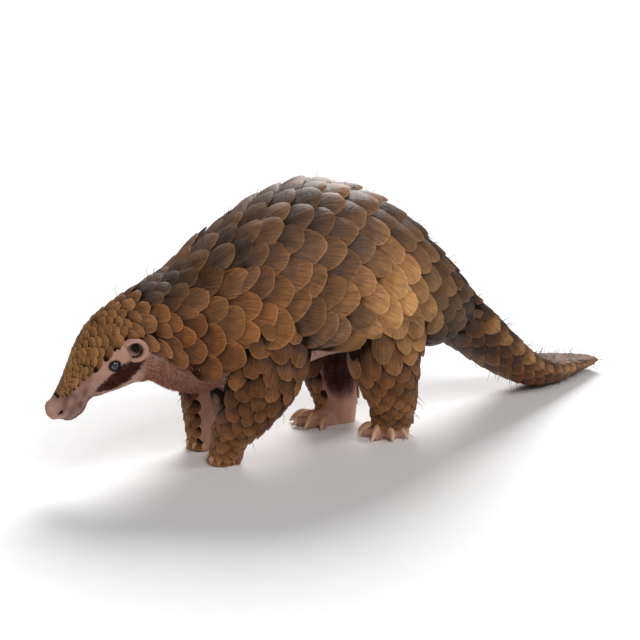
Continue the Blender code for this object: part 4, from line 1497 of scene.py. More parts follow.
@dataclass
class Coat:
    """The separate scales of one stretch, as one piece."""

    anatomy: Anatomy
    skin: Skin
    plan: CoatPlan
    seed: int
    fan: int = 64
    tube: Tube = field(init=False)
    grid_s: Array = field(init=False)
    arc: Array = field(init=False)
    angles: Array = field(init=False)
    rows: Array = field(init=False)

    def __post_init__(self) -> None:
        """Lays out the rows, and the angles of the columns in each."""
        plan = self.plan
        on_trunk = plan.part is Part.TRUNK
        self.tube = self.anatomy.spine if on_trunk else self.anatomy.tubes[plan.part]
        self.grid_s = np.linspace(plan.start - 0.05, plan.end + 0.05, 220)
        edge = np.radians(np.interp(self.grid_s, *zip(*plan.edge)))
        fan = np.linspace(0.0, 1.0, self.fan + 1)
        angles = edge[:, None] * fan[None, :]
        points = self.tube.points(self.grid_s[:, None], angles)[0]
        steps = np.linalg.norm(np.diff(points, axis=1), axis=2)
        arc = np.concatenate([np.zeros((len(edge), 1)), np.cumsum(steps, axis=1)], axis=1)
        self.arc = arc[:, -1]
        self.angles = np.stack(
            [np.interp(fan * arc[i, -1], arc[i], angles[i]) for i in range(len(edge))]
        )
        self.rows = self.row_places()

    def column(self, s: Array) -> Array:
        """The width of half a scale at places along the tube."""
        return np.interp(s, self.grid_s, self.arc) / self.plan.half_columns

    def row_places(self) -> Array:
        """Where the scales' widest places are, row by row."""
        rows = [self.plan.start]
        while rows[-1] < self.plan.end:
            rows.append(rows[-1] + self.plan.stretch * float(self.column(rows[-1])))
        rows = np.array(rows)
        return self.plan.start + (rows - self.plan.start) * (
            (self.plan.end - self.plan.start) / (rows[-1] - self.plan.start)
        )

    def angle(self, s: Array, share: Array) -> Array:
        """Angles at places along the tube, a share of the way to the coat's edge."""
        row = np.clip(
            (s - self.grid_s[0]) / (self.grid_s[1] - self.grid_s[0]), 0, len(self.grid_s) - 1.001
        )
        column = np.clip(np.abs(share), 0.0, 1.35) * self.fan
        i, j = row.astype(int), np.minimum(column.astype(int), self.fan - 1)
        a, b = row - i, column - j
        table = self.angles
        found = (
            table[i, j] * (1 - a) * (1 - b) + table[i + 1, j] * a * (1 - b)
            + table[i, j + 1] * (1 - a) * b + table[i + 1, j + 1] * a * b
        )
        return np.copysign(found, share)

    def spots(self) -> Array:
        """Row and column of every scale, in a diagonal pattern, less those under a coat."""
        half, under = self.plan.half_columns, self.plan.under
        spots = np.array([
            (row, column)
            for row in range(len(self.rows) - 1) for column in range(-half, half + 1)
            if (row + column) % 2 and not (self.plan.full_ring and column == half)
        ], float)
        row_s = self.rows[spots[:, 0].astype(int)]
        turned = np.degrees(np.abs(self.angle(row_s, spots[:, 1] / half)))
        return spots[~((row_s < under[0]) & (turned < under[1]))]

    def follow_skin(self, plate: Plate, base: Array, outward: Array) -> tuple[Array, Array]:
        """How high the skin carries each scale over the tube's own surface.

        A scale is stiff, so it takes the quadratic form that lies nearest to the skin.

        Args:
            plate: The scales' mesh.
            base: Each scale's vertices on the tube.
            outward: The tube's directions there.

        Returns:
            The heights, and whether each scale lies well enough to be kept.
        """
        slope = self.plan.slope
        heights = self.skin.drape(
            base.reshape(-1, 3), outward.reshape(-1, 3), self.plan.reach
        ).reshape(len(base), -1)
        seen = np.isfinite(heights).mean(axis=1) > 0.55
        heights[~seen] = 0.0
        highest = np.nanmax(heights, axis=1)[:, None]
        heights = np.where(np.isfinite(heights), heights, highest)
        u, t = plate.u, plate.t
        terms = np.stack([u**0, u, t, u**2, t**2, u * t])
        weights = terms.T @ np.linalg.pinv(terms.T)
        drape = heights @ weights.T
        drape += 0.5 * np.clip(heights - drape, 0.0, 0.0015)
        centre = drape.mean(axis=1)[:, None]
        bend = (drape.max(axis=1) - drape.min(axis=1))[:, None]
        drape = centre + (drape - centre) * np.minimum(1.0, slope / np.maximum(bend, 1e-6))
        low_enough = drape[:, plate.middle()] < self.plan.limit
        return drape, seen & (bend[:, 0] < 1.5 * slope) & low_enough

    def lay(self) -> tuple[Array, Array, Array, Array, Plate]:
        """Places every scale's vertices.

        Returns:
            Vertex places, and for each scale its row and column, its middle and a random
            tone, and the mesh that the scales share.
        """
        plan, plate = self.plan, self.plan.shape.build()
        draw = np.random.default_rng(self.seed)
        v, sideways = plate.spread()
        spots = self.spots()
        count = len(spots)
        row_s = self.rows[spots[:, 0].astype(int)]
        pitch = np.gradient(self.rows)[spots[:, 0].astype(int)]
        half = self.column(row_s)
        jitter = draw.normal(size=(8, count))
        phase = draw.uniform(0, 2 * math.pi, size=(4, count, 1))
        wild = plan.wildness
        length = pitch * plan.overlap * (1 + 0.06 * wild * jitter[0])
        tip = row_s + pitch * 1.32 + 0.09 * wild * half * jitter[1]
        width = plan.width * (1 + 0.06 * wild * jitter[2])
        from_crown = np.abs(spots[:, 1]) / plan.half_columns
        swept = plan.sweep * smoothstep(0.0, 0.35, from_crown) * np.sign(spots[:, 1])
        twist = plan.twist * wild * jitter[3] + swept

        u = plate.u[None, :]
        wobble = 0.016 * np.sin(2.8 * u + phase[0]) + 0.009 * np.sin(6.5 * u + phase[1])
        v = v[None, :] * (1 + wild * wobble * v[None, :] ** 2)
        s = tip[:, None] + (v - 1.0) * length[:, None]
        s = s - sideways[None, :] * (twist * half)[:, None]
        columns = spots[:, 1:2] + 0.06 * wild * jitter[6][:, None]
        columns = columns + sideways[None, :] * width[:, None]
        columns = columns + (v - 0.6) * (twist * length / half)[:, None]
        share = columns / plan.half_columns
        if plan.full_ring:
            share = (share + 1) % 2 - 1
        base, outward = self.tube.points(s, self.angle(s, share))
        drape, keep = self.follow_skin(plate, base, outward)

        fold = plan.keel * (np.abs(from_crown - 0.5) < 0.04)
        height = half[:, None] * (
            plan.lift * (1 + 0.16 * wild * jitter[4])[:, None] * v**1.15
            + plan.crown * (1 - np.abs(u) ** 2.2) * smoothstep(0.25, 0.8, v)
            + fold[:, None] * (np.exp(-((u / 0.24) ** 2)) - 0.25) * smoothstep(0.2, 0.8, v)
            + 0.05 * wild * jitter[5][:, None] * u
            + 0.030 * wild * np.sin(2.4 * u + phase[2]) * v
            + 0.018 * wild * np.sin(5.2 * u + 3.0 * v + phase[3]) * v
        )
        edge = np.maximum(plate.t, np.abs(plate.u))
        rounding = smoothstep(0.90, 1.0, edge)[None, :]
        thick = plan.thickness * half[:, None]
        height = height - thick * 0.35 * rounding - thick * plate.under[None, :] * 0.65
        height = height - 0.0004 * (1 - v) + plan.over * smoothstep(0.001, 0.006, drape)
        height *= 1 - plan.tuck * smoothstep(0.0008, 0.0035, drape)
        places = base + outward * (height + drape)[..., None]
        places[..., 2] = np.maximum(places[..., 2], SCALE_CLEAR)
        tones = draw.uniform(size=count)
        return places[keep], spots[keep], base[keep][:, plate.middle()], tones[keep], plate

    def build(self, material: bpy.types.Material) -> bpy.types.Object:
        """Makes the piece with its marks, its grain map and its bake map.

        Args:
            material: The scales' material.

        Returns:
            The piece, in the tubes' frame.
        """
        places, spots, middles, tones, plate = self.lay()
        count, size = places.shape[:2]
        faces = [[i + n * size for i in face] for n in range(count) for face in plate.faces]
        obj = make_object(self.plan.name, places.reshape(-1, 3), faces)
        mesh = obj.data
        warmth, pale, umbo, dusk = coat_colours(self.anatomy, self.plan, middles, spots)
        tones = tones - dusk
        for name, values in (("tone", tones), ("warmth", warmth), ("pale", pale), ("umbo", umbo)):
            set_mark(mesh, name, np.repeat(values, size))
        order = np.array([i for face in plate.faces for i in face])
        grain = np.stack([(plate.u[order] + 1) / 2, plate.t[order]], axis=1)
        set_map(mesh, "Grain", np.tile(grain, (count, 1)))
        half, rows = self.plan.half_columns, len(self.rows)
        cell = np.array([0.92 / (half + 1), 0.92 / (rows + 1)])
        corner = 0.02 + np.stack(
            [(spots[:, 1] + half) / (2 * half + 2), spots[:, 0] / (rows + 1)], axis=1
        )
        bake = corner[:, None, :] * 0.97 + plate.corners[None] * cell
        set_map(mesh, "OFBake", bake.reshape(-1, 2))
        mesh.materials.append(material)
        face_outwards(obj)
        shade(obj, 42.0)
        return obj


def coat_colours(
    anatomy: Anatomy, plan: CoatPlan, places: Array, spots: Array
) -> tuple[Array, Array, Array, Array]:
    """How warm and how pale each scale is, how strong the painted highlight on its middle is, and
    how dusky it is.

    Args:
        anatomy: The body.
        plan: The stretch of scales.
        places: The middle of each scale, in the tubes' frame.
        spots: Each scale's row and column.

    Returns:
        Warmth, paleness, the strength of the painted highlight on the middle, and duskiness, one
        of each a scale.
    """
    _, y, z = places.T
    drift = 0.16 * fade_noise(places, 0.09, 3)
    low = np.abs(spots[:, 1]) / plan.half_columns
    if plan.part is Part.TRUNK:
        front = smoothstep(-0.08, -0.17, y)
        warmth = 0.25 + 0.60 * front * smoothstep(0.1, 0.7, low) + 0.30 * smoothstep(0.2, 0.8, low)
        # Paler on the lower flank and rump: partly the scales' own colour, partly a painted
        # highlight.
        pale = 0.75 * smoothstep(0.35, 0.70, low) * smoothstep(-0.09, 0.00, y)
        pale *= smoothstep(0.105, 0.05, y)
        pale += 0.14 * front
        if plan.name.startswith("head"):
            pale = 0.18 + 0.42 * smoothstep(-0.270, -0.310, y)
            warmth = 0.75 + 0.25 * smoothstep(-0.275, -0.315, y)
        # The painted highlight on each scale's middle, stronger down the sides.
        umbo = 0.25 + 0.35 * smoothstep(0.4, 0.9, low)
        dusk = smoothstep(0.00, 0.07, y) + 0.55 * front * smoothstep(0.7, 0.2, low)
        dusk = dusk + 0.25 * smoothstep(0.5, 0.1, low)
        dusk = dusk * (1 - smoothstep(-0.22, -0.27, y))
    elif plan.part is Part.TAIL:
        ridge = smoothstep(0.10, 0.0, np.abs(low - 0.5))
        below = smoothstep(0.50, 0.62, low)
        warmth = 0.72 + 0.28 * below * smoothstep(0.13, 0.25, y)
        # Along the keel: paler scales, partly their colour and partly a painted highlight on the
        # folded edge, and a strong painted highlight on their middles.
        pale = 0.50 * ridge + 0.06 * smoothstep(0.16, 0.28, y)
        umbo = 0.1 + 0.9 * ridge
        dusk = 0.35 + 0.35 * smoothstep(0.20, 0.14, y)
    else:
        warmth = 0.78 + 0.10 * smoothstep(0.10, 0.02, z)
        pale = 0.03 + 0.16 * smoothstep(0.06, 0.02, z)
        hip = smoothstep(0.075, 0.105, z) * ("HIND" in plan.part.name)
        pale = pale + 0.5 * hip
        # The painted highlight on each scale's middle.
        umbo = np.full(len(low), 0.75)
        dusk = 0.45 * smoothstep(0.02, 0.06, z)
    warmth, pale = np.clip(warmth + drift, 0, 1), np.clip(pale + drift, 0, 1)
    return warmth, pale, np.clip(umbo, 0, 1), dusk


# Hair


@dataclass
class HairPatch:
    """Short hairs or bristles, each a thin tapered blade of three sides.

    per_cm2 is how many grow where the growth is full. stand is how far a hair leans out, from
    0, along the skin, to 1.
    """

    name: str
    skin: Skin
    growth: Growth
    per_cm2: float
    length: tuple[float, float]
    radius: float
    stand: float
    droop: float
    seed: int
    lift: float = -0.0003
    sag: tuple[float, float, float] = (0.0, 0.35, -1.0)

    def roots(self, draw: np.random.Generator) -> tuple[Array, Array, Array, Array]:
        """Draws root places over the skin.

        Args:
            draw: The random source.

        Returns:
            Root places, skin directions, and the tubes, places and angles there.
        """
        mesh = self.skin.obj.data
        mesh.calc_loop_triangles()
        corners = np.empty(len(mesh.loop_triangles) * 3, np.int32)
        mesh.loop_triangles.foreach_get("vertices", corners)
        corners = corners.reshape(-1, 3)
        places, normals = vertex_places(mesh), vertex_normals(mesh)
        a, b, c = (places[corners[:, k]] for k in range(3))
        area = np.linalg.norm(np.cross(b - a, c - a), axis=1) / 2
        where = self.skin.where[corners[:, 0]]
        weight = self.growth(where[:, 0], where[:, 1], np.degrees(np.abs(where[:, 2])))
        mean = area * weight * self.per_cm2 * 1e4
        chosen = np.repeat(np.arange(len(mean)), draw.poisson(mean))
        pair = draw.uniform(size=(len(chosen), 2))
        flip = pair.sum(axis=1) > 1
        pair[flip] = 1 - pair[flip]
        root = a[chosen] + (b - a)[chosen] * pair[:, :1] + (c - a)[chosen] * pair[:, 1:]
        normal = unit(normals[corners[chosen]].mean(axis=1))
        return root, normal, where[chosen], weight[chosen]

    def lay(self, root: Array, normal: Array, where: Array) -> Array:
        """The way the coat lies at each root: tailward on the body, downward on a leg."""
        lay = np.empty_like(root)
        for part, tube in self.skin.anatomy.tubes.items():
            here = where[:, 0] == part.value
            s, angle = where[here, 1], where[here, 2]
            ahead = tube.points(s + 0.002, angle)[0] - tube.points(s - 0.002, angle)[0]
            lay[here] = unit(ahead)
        lay = lay + np.array(self.sag) * self.droop
        return unit(lay - normal * (lay * normal).sum(axis=1)[:, None])

    def build(self, material: bpy.types.Material) -> bpy.types.Object:
        """Makes the piece.

        Args:
            material: The hair's material.

        Returns:
            The piece, in the tubes' frame.
        """
        draw = np.random.default_rng(self.seed)
        root, normal, where, weight = self.roots(draw)
        count = len(root)
        lay = self.lay(root, normal, where)
        lay = unit(lay + 0.28 * draw.normal(size=(count, 3)))
        out = self.stand * (1 + 0.35 * draw.normal(size=count))[:, None]
        length = draw.uniform(*self.length, size=count)[:, None] * (0.55 + 0.45 * weight[:, None])
        first = unit(lay * (1 - out) + normal * out)
        later = unit(first + lay * 0.55)
        start = root + normal * self.lift
        middle = start + first * length * 0.5
        tip = middle + later * length * 0.5
        across = unit(np.cross(first, draw.normal(size=(count, 3))))
        beside = np.cross(first, across)
        thick = self.radius * draw.uniform(0.8, 1.2, size=(count, 1))
        rings = []
        for centre, share in ((start, 1.0), (middle, 0.72)):
            for turn in np.radians([0.0, 120.0, 240.0]):
                offset = across * math.cos(turn) + beside * math.sin(turn)
                rings.append(centre + offset * thick * share)
        places = np.stack(rings + [tip], axis=1)
        places[..., 2] = np.maximum(places[..., 2], HAIR_CLEAR)
        pattern = [[0, 1, 4, 3], [1, 2, 5, 4], [2, 0, 3, 5], [3, 4, 6], [4, 5, 6], [5, 3, 6],
                   [2, 1, 0]]
        size = places.shape[1]
        faces = [[i + size * n for i in face] for n in range(count) for face in pattern]
        obj = make_object(self.name, places.reshape(-1, 3), faces)
        mesh = obj.data
        set_mark(mesh, "along", np.tile([0, 0, 0, 0.5, 0.5, 0.5, 1.0], count))
        set_mark(mesh, "tone", np.repeat(draw.uniform(size=count), size))
        spot = np.array([[0, 0], [0.5, 0.1], [1, 0], [0, 0.5], [0.5, 0.6], [1, 0.5], [0.5, 1]])
        order = [i for face in pattern for i in face]
        lengths = np.array([self.skin.anatomy.tubes[part].length for part in Part])
        about = np.stack(
            [where[:, 2] / (2 * math.pi) + 0.5,
             (where[:, 0] + where[:, 1] / lengths[where[:, 0].astype(int)]) / len(Part)],
            axis=1,
        )
        bake = (0.01 + 0.975 * about)[:, None, :] + spot[order][None] * 0.003
        set_map(mesh, "OFBake", bake.reshape(-1, 2))
        mesh.materials.append(material)
        face_outwards(obj)
        shade(obj)
        return obj


# Ears, eyes and claws


@dataclass
class Ear:
    """A rounded flap of skin that stands round the back of the ear's opening."""

    anatomy: Anatomy
    side: int
    radius: float = 0.0080
    height: float = 0.0060
    spread_deg: float = 262.0

    def build(self, material: bpy.types.Material) -> bpy.types.Object:
        """Sweeps the flap's profile round the opening.

        Args:
            material: The skin's material.

        Returns:
            The ear, in the tubes' frame.
        """
        frame = self.anatomy.head_place(EAR_PLACE, self.side)
        count, rings = 64, []
        for i in range(count):
            share = i / (count - 1)
            turn = math.radians((share - 0.5) * self.spread_deg) + math.pi / 2
            fade = math.sin(math.pi * (0.03 + 0.94 * share)) ** 0.55
            wave = 1 + 0.05 * math.sin(5.0 * share * math.pi + 0.6)
            height = self.height * fade * wave
            thick = 0.0018 * (0.55 + 0.45 * fade)
            lean = 0.0016 * fade
            profile = [
                (-0.0022, -0.0052), (-0.0018, -0.0026), (-0.0014, 0.0000),
                (-0.0012 + lean * 0.2, height * 0.35), (-thick + lean * 0.6, height * 0.72),
                (-thick * 0.9 + lean, height * 0.93), (lean * 1.1, height),
                (thick * 0.9 + lean * 1.1, height * 0.95), (thick * 1.25 + lean, height * 0.80),
                (thick * 1.1 + lean * 0.6, height * 0.50), (0.0018, 0.0010),
                (0.0034, -0.0002), (0.0050, -0.0018),
            ]
            out = Vector((math.cos(turn), math.sin(turn), 0.0))
            rings.append([
                frame @ (out * (self.radius + across) + Vector((0.0, 0.0, rise)))
                for across, rise in profile
            ])
        places = np.array([[tuple(point) for point in ring] for ring in rings])
        word = "left" if self.side > 0 else "right"
        faces = ring_faces(count, places.shape[1])
        obj = make_object(f"ear_flap_{word}", places.reshape(-1, 3), faces)
        face_outwards(obj)
        apply_modifier(obj, "SUBSURF", levels=1, render_levels=1)
        mesh = obj.data
        spot = moved(vertex_places(mesh), frame.inverted())
        reach = np.hypot(spot[:, 0], spot[:, 1])
        inner = smoothstep(self.radius + 0.0002, self.radius - 0.0012, reach)
        # Painted shade low in the flap's inner hollow.
        set_mark(mesh, "pit", inner * smoothstep(0.0030, -0.0002, spot[:, 2]) * 0.95)
        set_mark(mesh, "smoke", 0.25 * inner)
        for name in ("stain", "covered"):
            set_mark(mesh, name, np.zeros(len(spot)))
        mesh.materials.append(material)
        shade(obj)
        return obj


@dataclass
class Eye:
    """An eyeball with a slight bulge over the iris."""

    anatomy: Anatomy
    side: int

    def build(self, material: bpy.types.Material) -> bpy.types.Object:
        """Starts from a sphere and raises the cornea.

        Args:
            material: The eye's material.

        Returns:
            The eyeball, in the tubes' frame.
        """
        frame = self.anatomy.head_place(EYE_PLACE, self.side)
        bpy.ops.mesh.primitive_uv_sphere_add(segments=48, ring_count=32, radius=1.0)
        obj = bpy.context.active_object
        obj.name = "eyeball_left" if self.side > 0 else "eyeball_right"
        places = vertex_places(obj.data)
        out = np.arccos(np.clip(places[:, 2], -1, 1)) / (math.pi / 2)
        bulge = 1 + 0.05 * np.exp(-((out / 0.42) ** 2))
        places *= (EYEBALL * bulge)[:, None]
        set_places(obj.data, places)
        obj.data.transform(frame @ Matrix.Translation((0.0, 0.0, -EYE_SUNK)))
        set_mark(obj.data, "out", out)
        obj.data.materials.append(material)
        shade(obj)
        return obj


@dataclass
class Claw:
    """One curved claw, flattened from side to side."""

    foot: FootPlan
    knuckle: Vector
    toward: Vector
    size: float
    name: str
    taper: tuple[tuple[float, ...], ...] = (
        (0.0, 0.25, 0.5, 0.75, 0.93, 1.0), (1.0, 0.98, 0.84, 0.58, 0.30, 0.1)
    )

    def centre(self, t: float) -> tuple[Vector, float]:
        """The middle line's place and the claw's radius, from root, 0, to point, 1."""
        foot = self.foot
        length, radius = foot.claw_length * self.size, foot.claw_radius * self.size
        taper = float(np.interp(t, *self.taper))
        start = foot.toe_radius * self.size * 1.25
        if foot.curled:
            ahead = length * (0.30 * math.sin(math.pi * 0.92 * t) - 0.06)
            height = start + length * (0.12 - 0.50 * t) + 0.002
        else:
            ahead = length * (1.16 * t - 0.32)
            height = start * 1.20 + length * (0.04 + 0.30 * t - 0.84 * t * t)
            radius *= 1.32
        height = max(height, radius * taper + 0.0008)
        return self.knuckle + self.toward * ahead + Vector((0, 0, height)), radius * taper

    def build(self, material: bpy.types.Material) -> bpy.types.Object:
        """Sweeps the claw from its root to its point.

        Args:
            material: The claws' material.

        Returns:
            The claw, in the tubes' frame.
        """
        steps, sides = 15, 14
        line = [self.centre(t) for t in np.linspace(0.0, 1.0, steps)]
        sideways = self.toward.cross(Vector((0.0, 0.0, 1.0)))
        rings = []
        for i, (middle, radius) in enumerate(line):
            along = (line[min(i + 1, steps - 1)][0] - line[max(i - 1, 0)][0]).normalized()
            rise = along.cross(sideways).normalized()
            across = rise.cross(along).normalized()
            for k in range(sides):
                turn = 2 * math.pi * k / sides
                ridge = 1 + 0.10 * max(math.sin(turn), 0.0) ** 3
                offset = across * math.cos(turn) * 0.84 + rise * math.sin(turn) * ridge
                rings.append(tuple(middle + offset * radius))
        faces = ring_faces(steps, sides)
        obj = make_object(self.name, np.array(rings), faces)
        mesh = obj.data
        set_mark(mesh, "along", np.repeat(np.linspace(0, 1, steps), sides))
        corner = []
        for face in faces[:-2]:
            for n, i in enumerate(face):
                past_seam = sides if n in (1, 2) and i % sides == 0 else 0
                corner.append(((i % sides + past_seam) / sides, i // sides / steps))
        corner += [(k / sides, end) for end in (0.0, 1.0) for k in range(sides)]
        set_map(mesh, "Grain", np.array(corner))
        mesh.materials.append(material)
        face_outwards(obj)
        shade(obj, 60.0)
        return obj


# Studio


@dataclass
class Studio:
    """Floor, lights, air and camera."""

    anatomy: Anatomy
    camera_place: tuple[float, float, float] = (1.0739, -0.7588, 0.3921)
    azimuth_deg: float = 56.24
    pitch_deg: float = 12.0
    lens_mm: float = 75.0
    sensor_mm: float = 36.0
    paper_width: float = 30.0
    air_light: float = 0.10
    air_seen: float = 1.1
    window_place: tuple[float, float, float] = (0.80, -0.85, 1.45)
    window_aim: tuple[float, float, float] = (0.0, -0.2, 0.1)

    def build(self) -> None:
        """Sets up everything round the animal."""
        self.floor()
        self.sun("back", 4.0, 37.0, 3.7, 30.0)
        self.sun("front", 162.0, 44.0, 0.85, 30.0)
        self.sun("side", 98.0, 30.0, 0.70, 18.0)
        self.window()
        world = bpy.data.worlds.new("studio_air")
        world.use_nodes = True
        tree = world.node_tree
        back = tree.nodes["Background"]
        back.inputs["Color"].default_value = (1.0, 1.0, 1.0, 1.0)
        seen = add_node(tree, "ShaderNodeLightPath").outputs["Is Camera Ray"]
        air = add_node(
            tree, "ShaderNodeMapRange", {0: seen, 3: self.air_light, 4: self.air_seen}
        )
        tree.links.new(air.outputs[0], back.inputs["Strength"])
        bpy.context.scene.world = world
        bpy.context.scene.view_settings.view_transform = "Standard"
        self.camera()

    def floor(self) -> None:
        """Rolls out a wide sheet of white paper."""
        bpy.ops.mesh.primitive_plane_add(size=self.paper_width)
        floor = bpy.context.active_object
        floor.name = "floor_paper"
        floor.data.materials.append(StudioPaper().material("studio_paper"))

    def sun(self, name: str, turn: float, rise: float, power: float, spread: float) -> None:
        """Hangs a far, soft light.

        Args:
            name: Its name.
            turn: Where it stands, in degrees round the animal from the camera's far side
                towards the right.
            rise: Its height over the horizon, in degrees.
            power: Its power a square metre.
            spread: How wide it looks, in degrees.
        """
        data = bpy.data.lights.new(name, "SUN")
        data.energy, data.angle = power, math.radians(spread)
        lamp = bpy.data.objects.new(name, data)
        bpy.context.scene.collection.objects.link(lamp)
        away, up = math.radians(turn), math.radians(rise)
        ahead = math.radians(self.azimuth_deg)
        forward = Vector((-math.sin(ahead), math.cos(ahead), 0.0))
        right = Vector((math.cos(ahead), math.sin(ahead), 0.0))
        level = forward * math.cos(away) + right * math.sin(away)
        where = level * math.cos(up) + Vector((0.0, 0.0, math.sin(up)))
        lamp.rotation_euler = where.to_track_quat("Z", "Y").to_euler()

    def window(self) -> None:
        """Hangs a small bright panel over the camera, for the shine in the eye."""
        data = bpy.data.lights.new("window", "AREA")
        data.size, data.energy = 0.16, 2.6
        lamp = bpy.data.objects.new("window", data)
        bpy.context.scene.collection.objects.link(lamp)
        lamp.location = self.window_place
        aim = Vector(self.window_aim) - lamp.location
        lamp.rotation_euler = aim.to_track_quat("-Z", "Y").to_euler()

    def camera(self) -> None:
        """Places the camera at the picture's view."""
        data = bpy.data.cameras.new("camera")
        data.lens = self.lens_mm
        data.sensor_width = self.sensor_mm
        camera = bpy.data.objects.new("camera", data)
        bpy.context.scene.collection.objects.link(camera)
        camera.location = Vector(np.array(self.camera_place) - self.anatomy.shift)
        turn, pitch = math.radians(self.azimuth_deg), math.radians(self.pitch_deg)
        aim = Vector((
            -math.sin(turn) * math.cos(pitch), math.cos(turn) * math.cos(pitch),
            -math.sin(pitch),
        ))
        camera.rotation_euler = aim.to_track_quat("-Z", "Y").to_euler()
        bpy.context.scene.camera = camera


# The animal


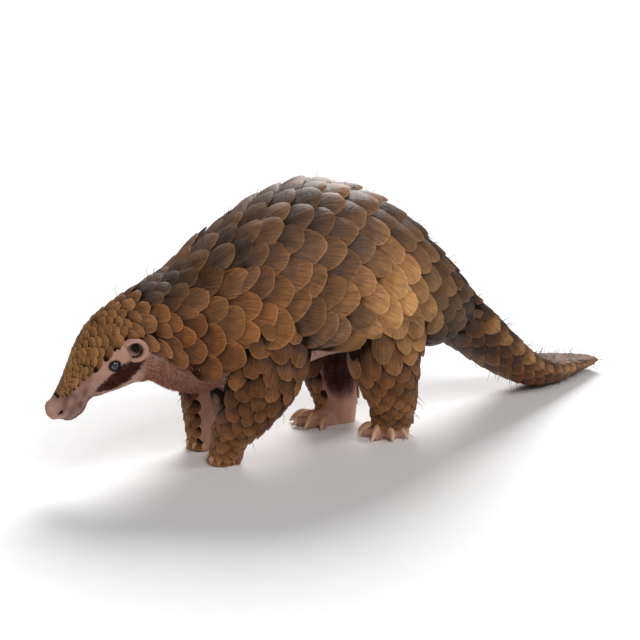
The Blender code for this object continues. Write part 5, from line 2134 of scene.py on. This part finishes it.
@dataclass
class Pangolin:
    """The whole animal, piece by piece."""

    anatomy: Anatomy

    def plans(self) -> list[CoatPlan]:
        """The stretches of scales from snout to tail tip and down the legs."""
        broad = PlateShape(5, (0.0, 0.4, 0.66, 0.82, 0.92, 0.975, 1.0), 0.62, 0.6, (2.1, 1.9))
        small = PlateShape(3, (0.0, 0.5, 0.8, 0.94, 1.0), 0.52, 0.65, (2.3, 2.1))
        blunt = PlateShape(4, (0.0, 0.45, 0.75, 0.92, 1.0), 0.58, 0.7, (2.3, 1.8))
        tail = PlateShape(4, (0.0, 0.45, 0.72, 0.88, 0.97, 1.0), 0.60, 0.65, (2.2, 1.9))
        trunk, tail_tube = self.anatomy.trunk, self.anatomy.tail
        plans = [
            CoatPlan(
                "head_scales", Part.TRUNK, 0.0050, 0.1030, 7, HEAD_EDGE, stretch=1.12,
                overlap=2.4, lift=0.15, crown=0.36, thickness=0.12, shape=small, twist=0.10,
                wildness=1.5, width=1.12,
            ),
            CoatPlan(
                "neck_scales", Part.TRUNK, 0.1070, 0.1730, 9, NECK_EDGE, stretch=1.1,
                overlap=3.1, lift=0.27, crown=0.26, thickness=0.12, shape=broad, wildness=1.3,
                width=1.1, reach=0.022, limit=0.016, over=0.0020, sweep=0.10,
            ),
            CoatPlan(
                "torso_scales", Part.TRUNK, 0.1710, trunk.length + 0.016, 12, TORSO_EDGE,
                stretch=1.15, overlap=3.1, lift=0.30, crown=0.25, thickness=0.12, shape=broad,
                wildness=1.2, reach=0.028, limit=0.016, slope=0.011, over=0.0022, sweep=0.38,
            ),
            CoatPlan(
                "tail_scales", Part.TAIL, 0.010, tail_tube.length - 0.001, 10,
                ((0.0, 180.0), (1.0, 180.0)), stretch=1.25, overlap=2.9, lift=0.20,
                crown=0.10, thickness=0.09, shape=tail, full_ring=True, keel=0.22,
                reach=0.022, limit=0.016, slope=0.013, tuck=0.5,
                under=(tail_tube.place["root"] - 0.010, 128.0),
            ),
        ]
        for part in LEGS:
            tube, hind = self.anatomy.tubes[part], "HIND" in part.name
            end = tube.place["ankle"] + 0.004 if hind else tube.length - 0.009
            middle, low = (114.0, 104.0) if hind else (120.0, 126.0)
            edge = ((0.0, 116.0), (tube.length * 0.5, middle), (tube.length, low))
            plans.append(CoatPlan(
                f"{part.name.lower()}_scales", part, 0.004, end, 6 if hind else 7, edge,
                stretch=1.1, overlap=2.9, lift=0.23, crown=0.30, thickness=0.13, shape=blunt,
                twist=0.08, wildness=1.4, width=1.12, reach=0.022, limit=0.016,
                slope=0.018 if hind else 0.013, tuck=0.6,
            ))
        return plans

    def build(self) -> None:
        """Builds every piece and binds it."""
        skin = Skin(self.anatomy)
        skin.build()
        scales = KeratinScale().material("keratin_scales")
        for number, plan in enumerate(self.plans()):
            piece = Coat(self.anatomy, skin, plan, 100 + number).build(scales)
            self.anatomy.ride(piece, Slot.SCALES, [])
        self.hair(skin)
        bare = skin.obj.data.materials[0]
        for side, word in ((1, "left"), (-1, "right")):
            ear = Ear(self.anatomy, side).build(bare)
            self.anatomy.ride(ear, Slot.SKIN, [f"ear_{word}"])
            eye = Eye(self.anatomy, side).build(WetEye().material(f"wet_eye_{word}"))
            self.anatomy.ride(eye, Slot.EYE, [f"eye_{word}"])
        self.claws()
        legs = [part.name.lower() for part in LEGS]
        self.anatomy.ride(skin.obj, Slot.SKIN, ["head", "neck", "torso", "tail", *legs])

    def on_trunk(self, patch: Callable[[Tube, Array, Array], Array]) -> Growth:
        """Turns a patch of the body into a growth that is bare on tail and legs."""
        trunk = self.anatomy.trunk
        return lambda part, s, degrees: patch(trunk, s, degrees) * (part == Part.TRUNK.value)

    def inside_legs(self, part: Array, s: Array, degrees: Array) -> Array:
        """The growth inside the legs."""
        grown = np.zeros(len(s))
        for leg in LEGS:
            here = part == leg.value
            grown[here] = thigh_patch(self.anatomy, leg, s[here], degrees[here])
        return grown

    def hair(self, skin: Skin) -> None:
        """Grows the cheeks', throat's, neck's and legs' hair, and the bristles."""

        def between_scales(part: Array, s: Array, degrees: Array) -> Array:
            """The bristles' growth: wherever scales grow, but on the head."""
            grown = np.zeros(len(s))
            for tube in Part:
                here = part == tube.value
                inside = np.radians(degrees[here]) < skin.edge_angle(s[here], tube)
                grown[here] = inside & (s[here] > (0.09 if tube is Part.TRUNK else 0.02))
            return grown

        cheek, throat, fringe = map(self.on_trunk, (cheek_patch, throat_patch, neck_fringe))
        dark = Hair().material("cheek_hair")
        pale = Hair("#8c3f2e", "#bd7660", "#dfc0ae").material("throat_hair")
        black = Hair("#120c09", "#1f1611", "#2b1f18").material("bristle_hair")
        for finish, patch in (
            (dark, HairPatch(
                "cheek_hair", skin, cheek, per_cm2=330.0, length=(0.0022, 0.0040),
                radius=0.00014, stand=0.30, droop=0.5, seed=11)),
            (pale, HairPatch(
                "throat_hair", skin, throat, per_cm2=170.0, length=(0.0026, 0.0046),
                radius=0.00012, stand=0.42, droop=0.5, seed=12)),
            (dark, HairPatch(
                "leg_hair", skin, self.inside_legs, per_cm2=260.0, length=(0.0016, 0.0030),
                radius=0.00014, stand=0.35, droop=0.2, seed=13)),
            (dark, HairPatch(
                "neck_hair", skin, fringe, per_cm2=110.0, length=(0.0030, 0.0056),
                radius=0.00013, stand=0.35, droop=0.8, seed=14)),
            (black, HairPatch(
                "back_bristles", skin, between_scales, per_cm2=0.24, length=(0.0100, 0.0180),
                radius=0.00032, stand=0.55, droop=0.1, seed=15, lift=0.0015)),
        ):
            self.anatomy.ride(patch.build(finish), Slot.SKIN, [])

    def claws(self) -> None:
        """Grows five claws on every foot."""
        horn = ClawHorn().material("claw_horn")
        for part, foot in FEET.items():
            stem = part.name.lower().replace("leg_", "_")
            for i, (knuckle, toward, size) in enumerate(self.anatomy.toes(part), start=1):
                claw = Claw(foot, knuckle, toward, size, f"claw_horn_{stem}_{i}").build(horn)
                self.anatomy.ride(claw, Slot.CLAW, [f"claw_{stem}_{i}"])


def main() -> None:
    """Builds the animal and its studio, and logs the shift."""
    logging.basicConfig(level=logging.INFO, format="%(name)s %(message)s")
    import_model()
    anatomy = Anatomy()
    LOG.info("shift %s", anatomy.shift)
    Pangolin(anatomy).build()
    Studio(anatomy).build()


if __name__ == "__main__":
    main()
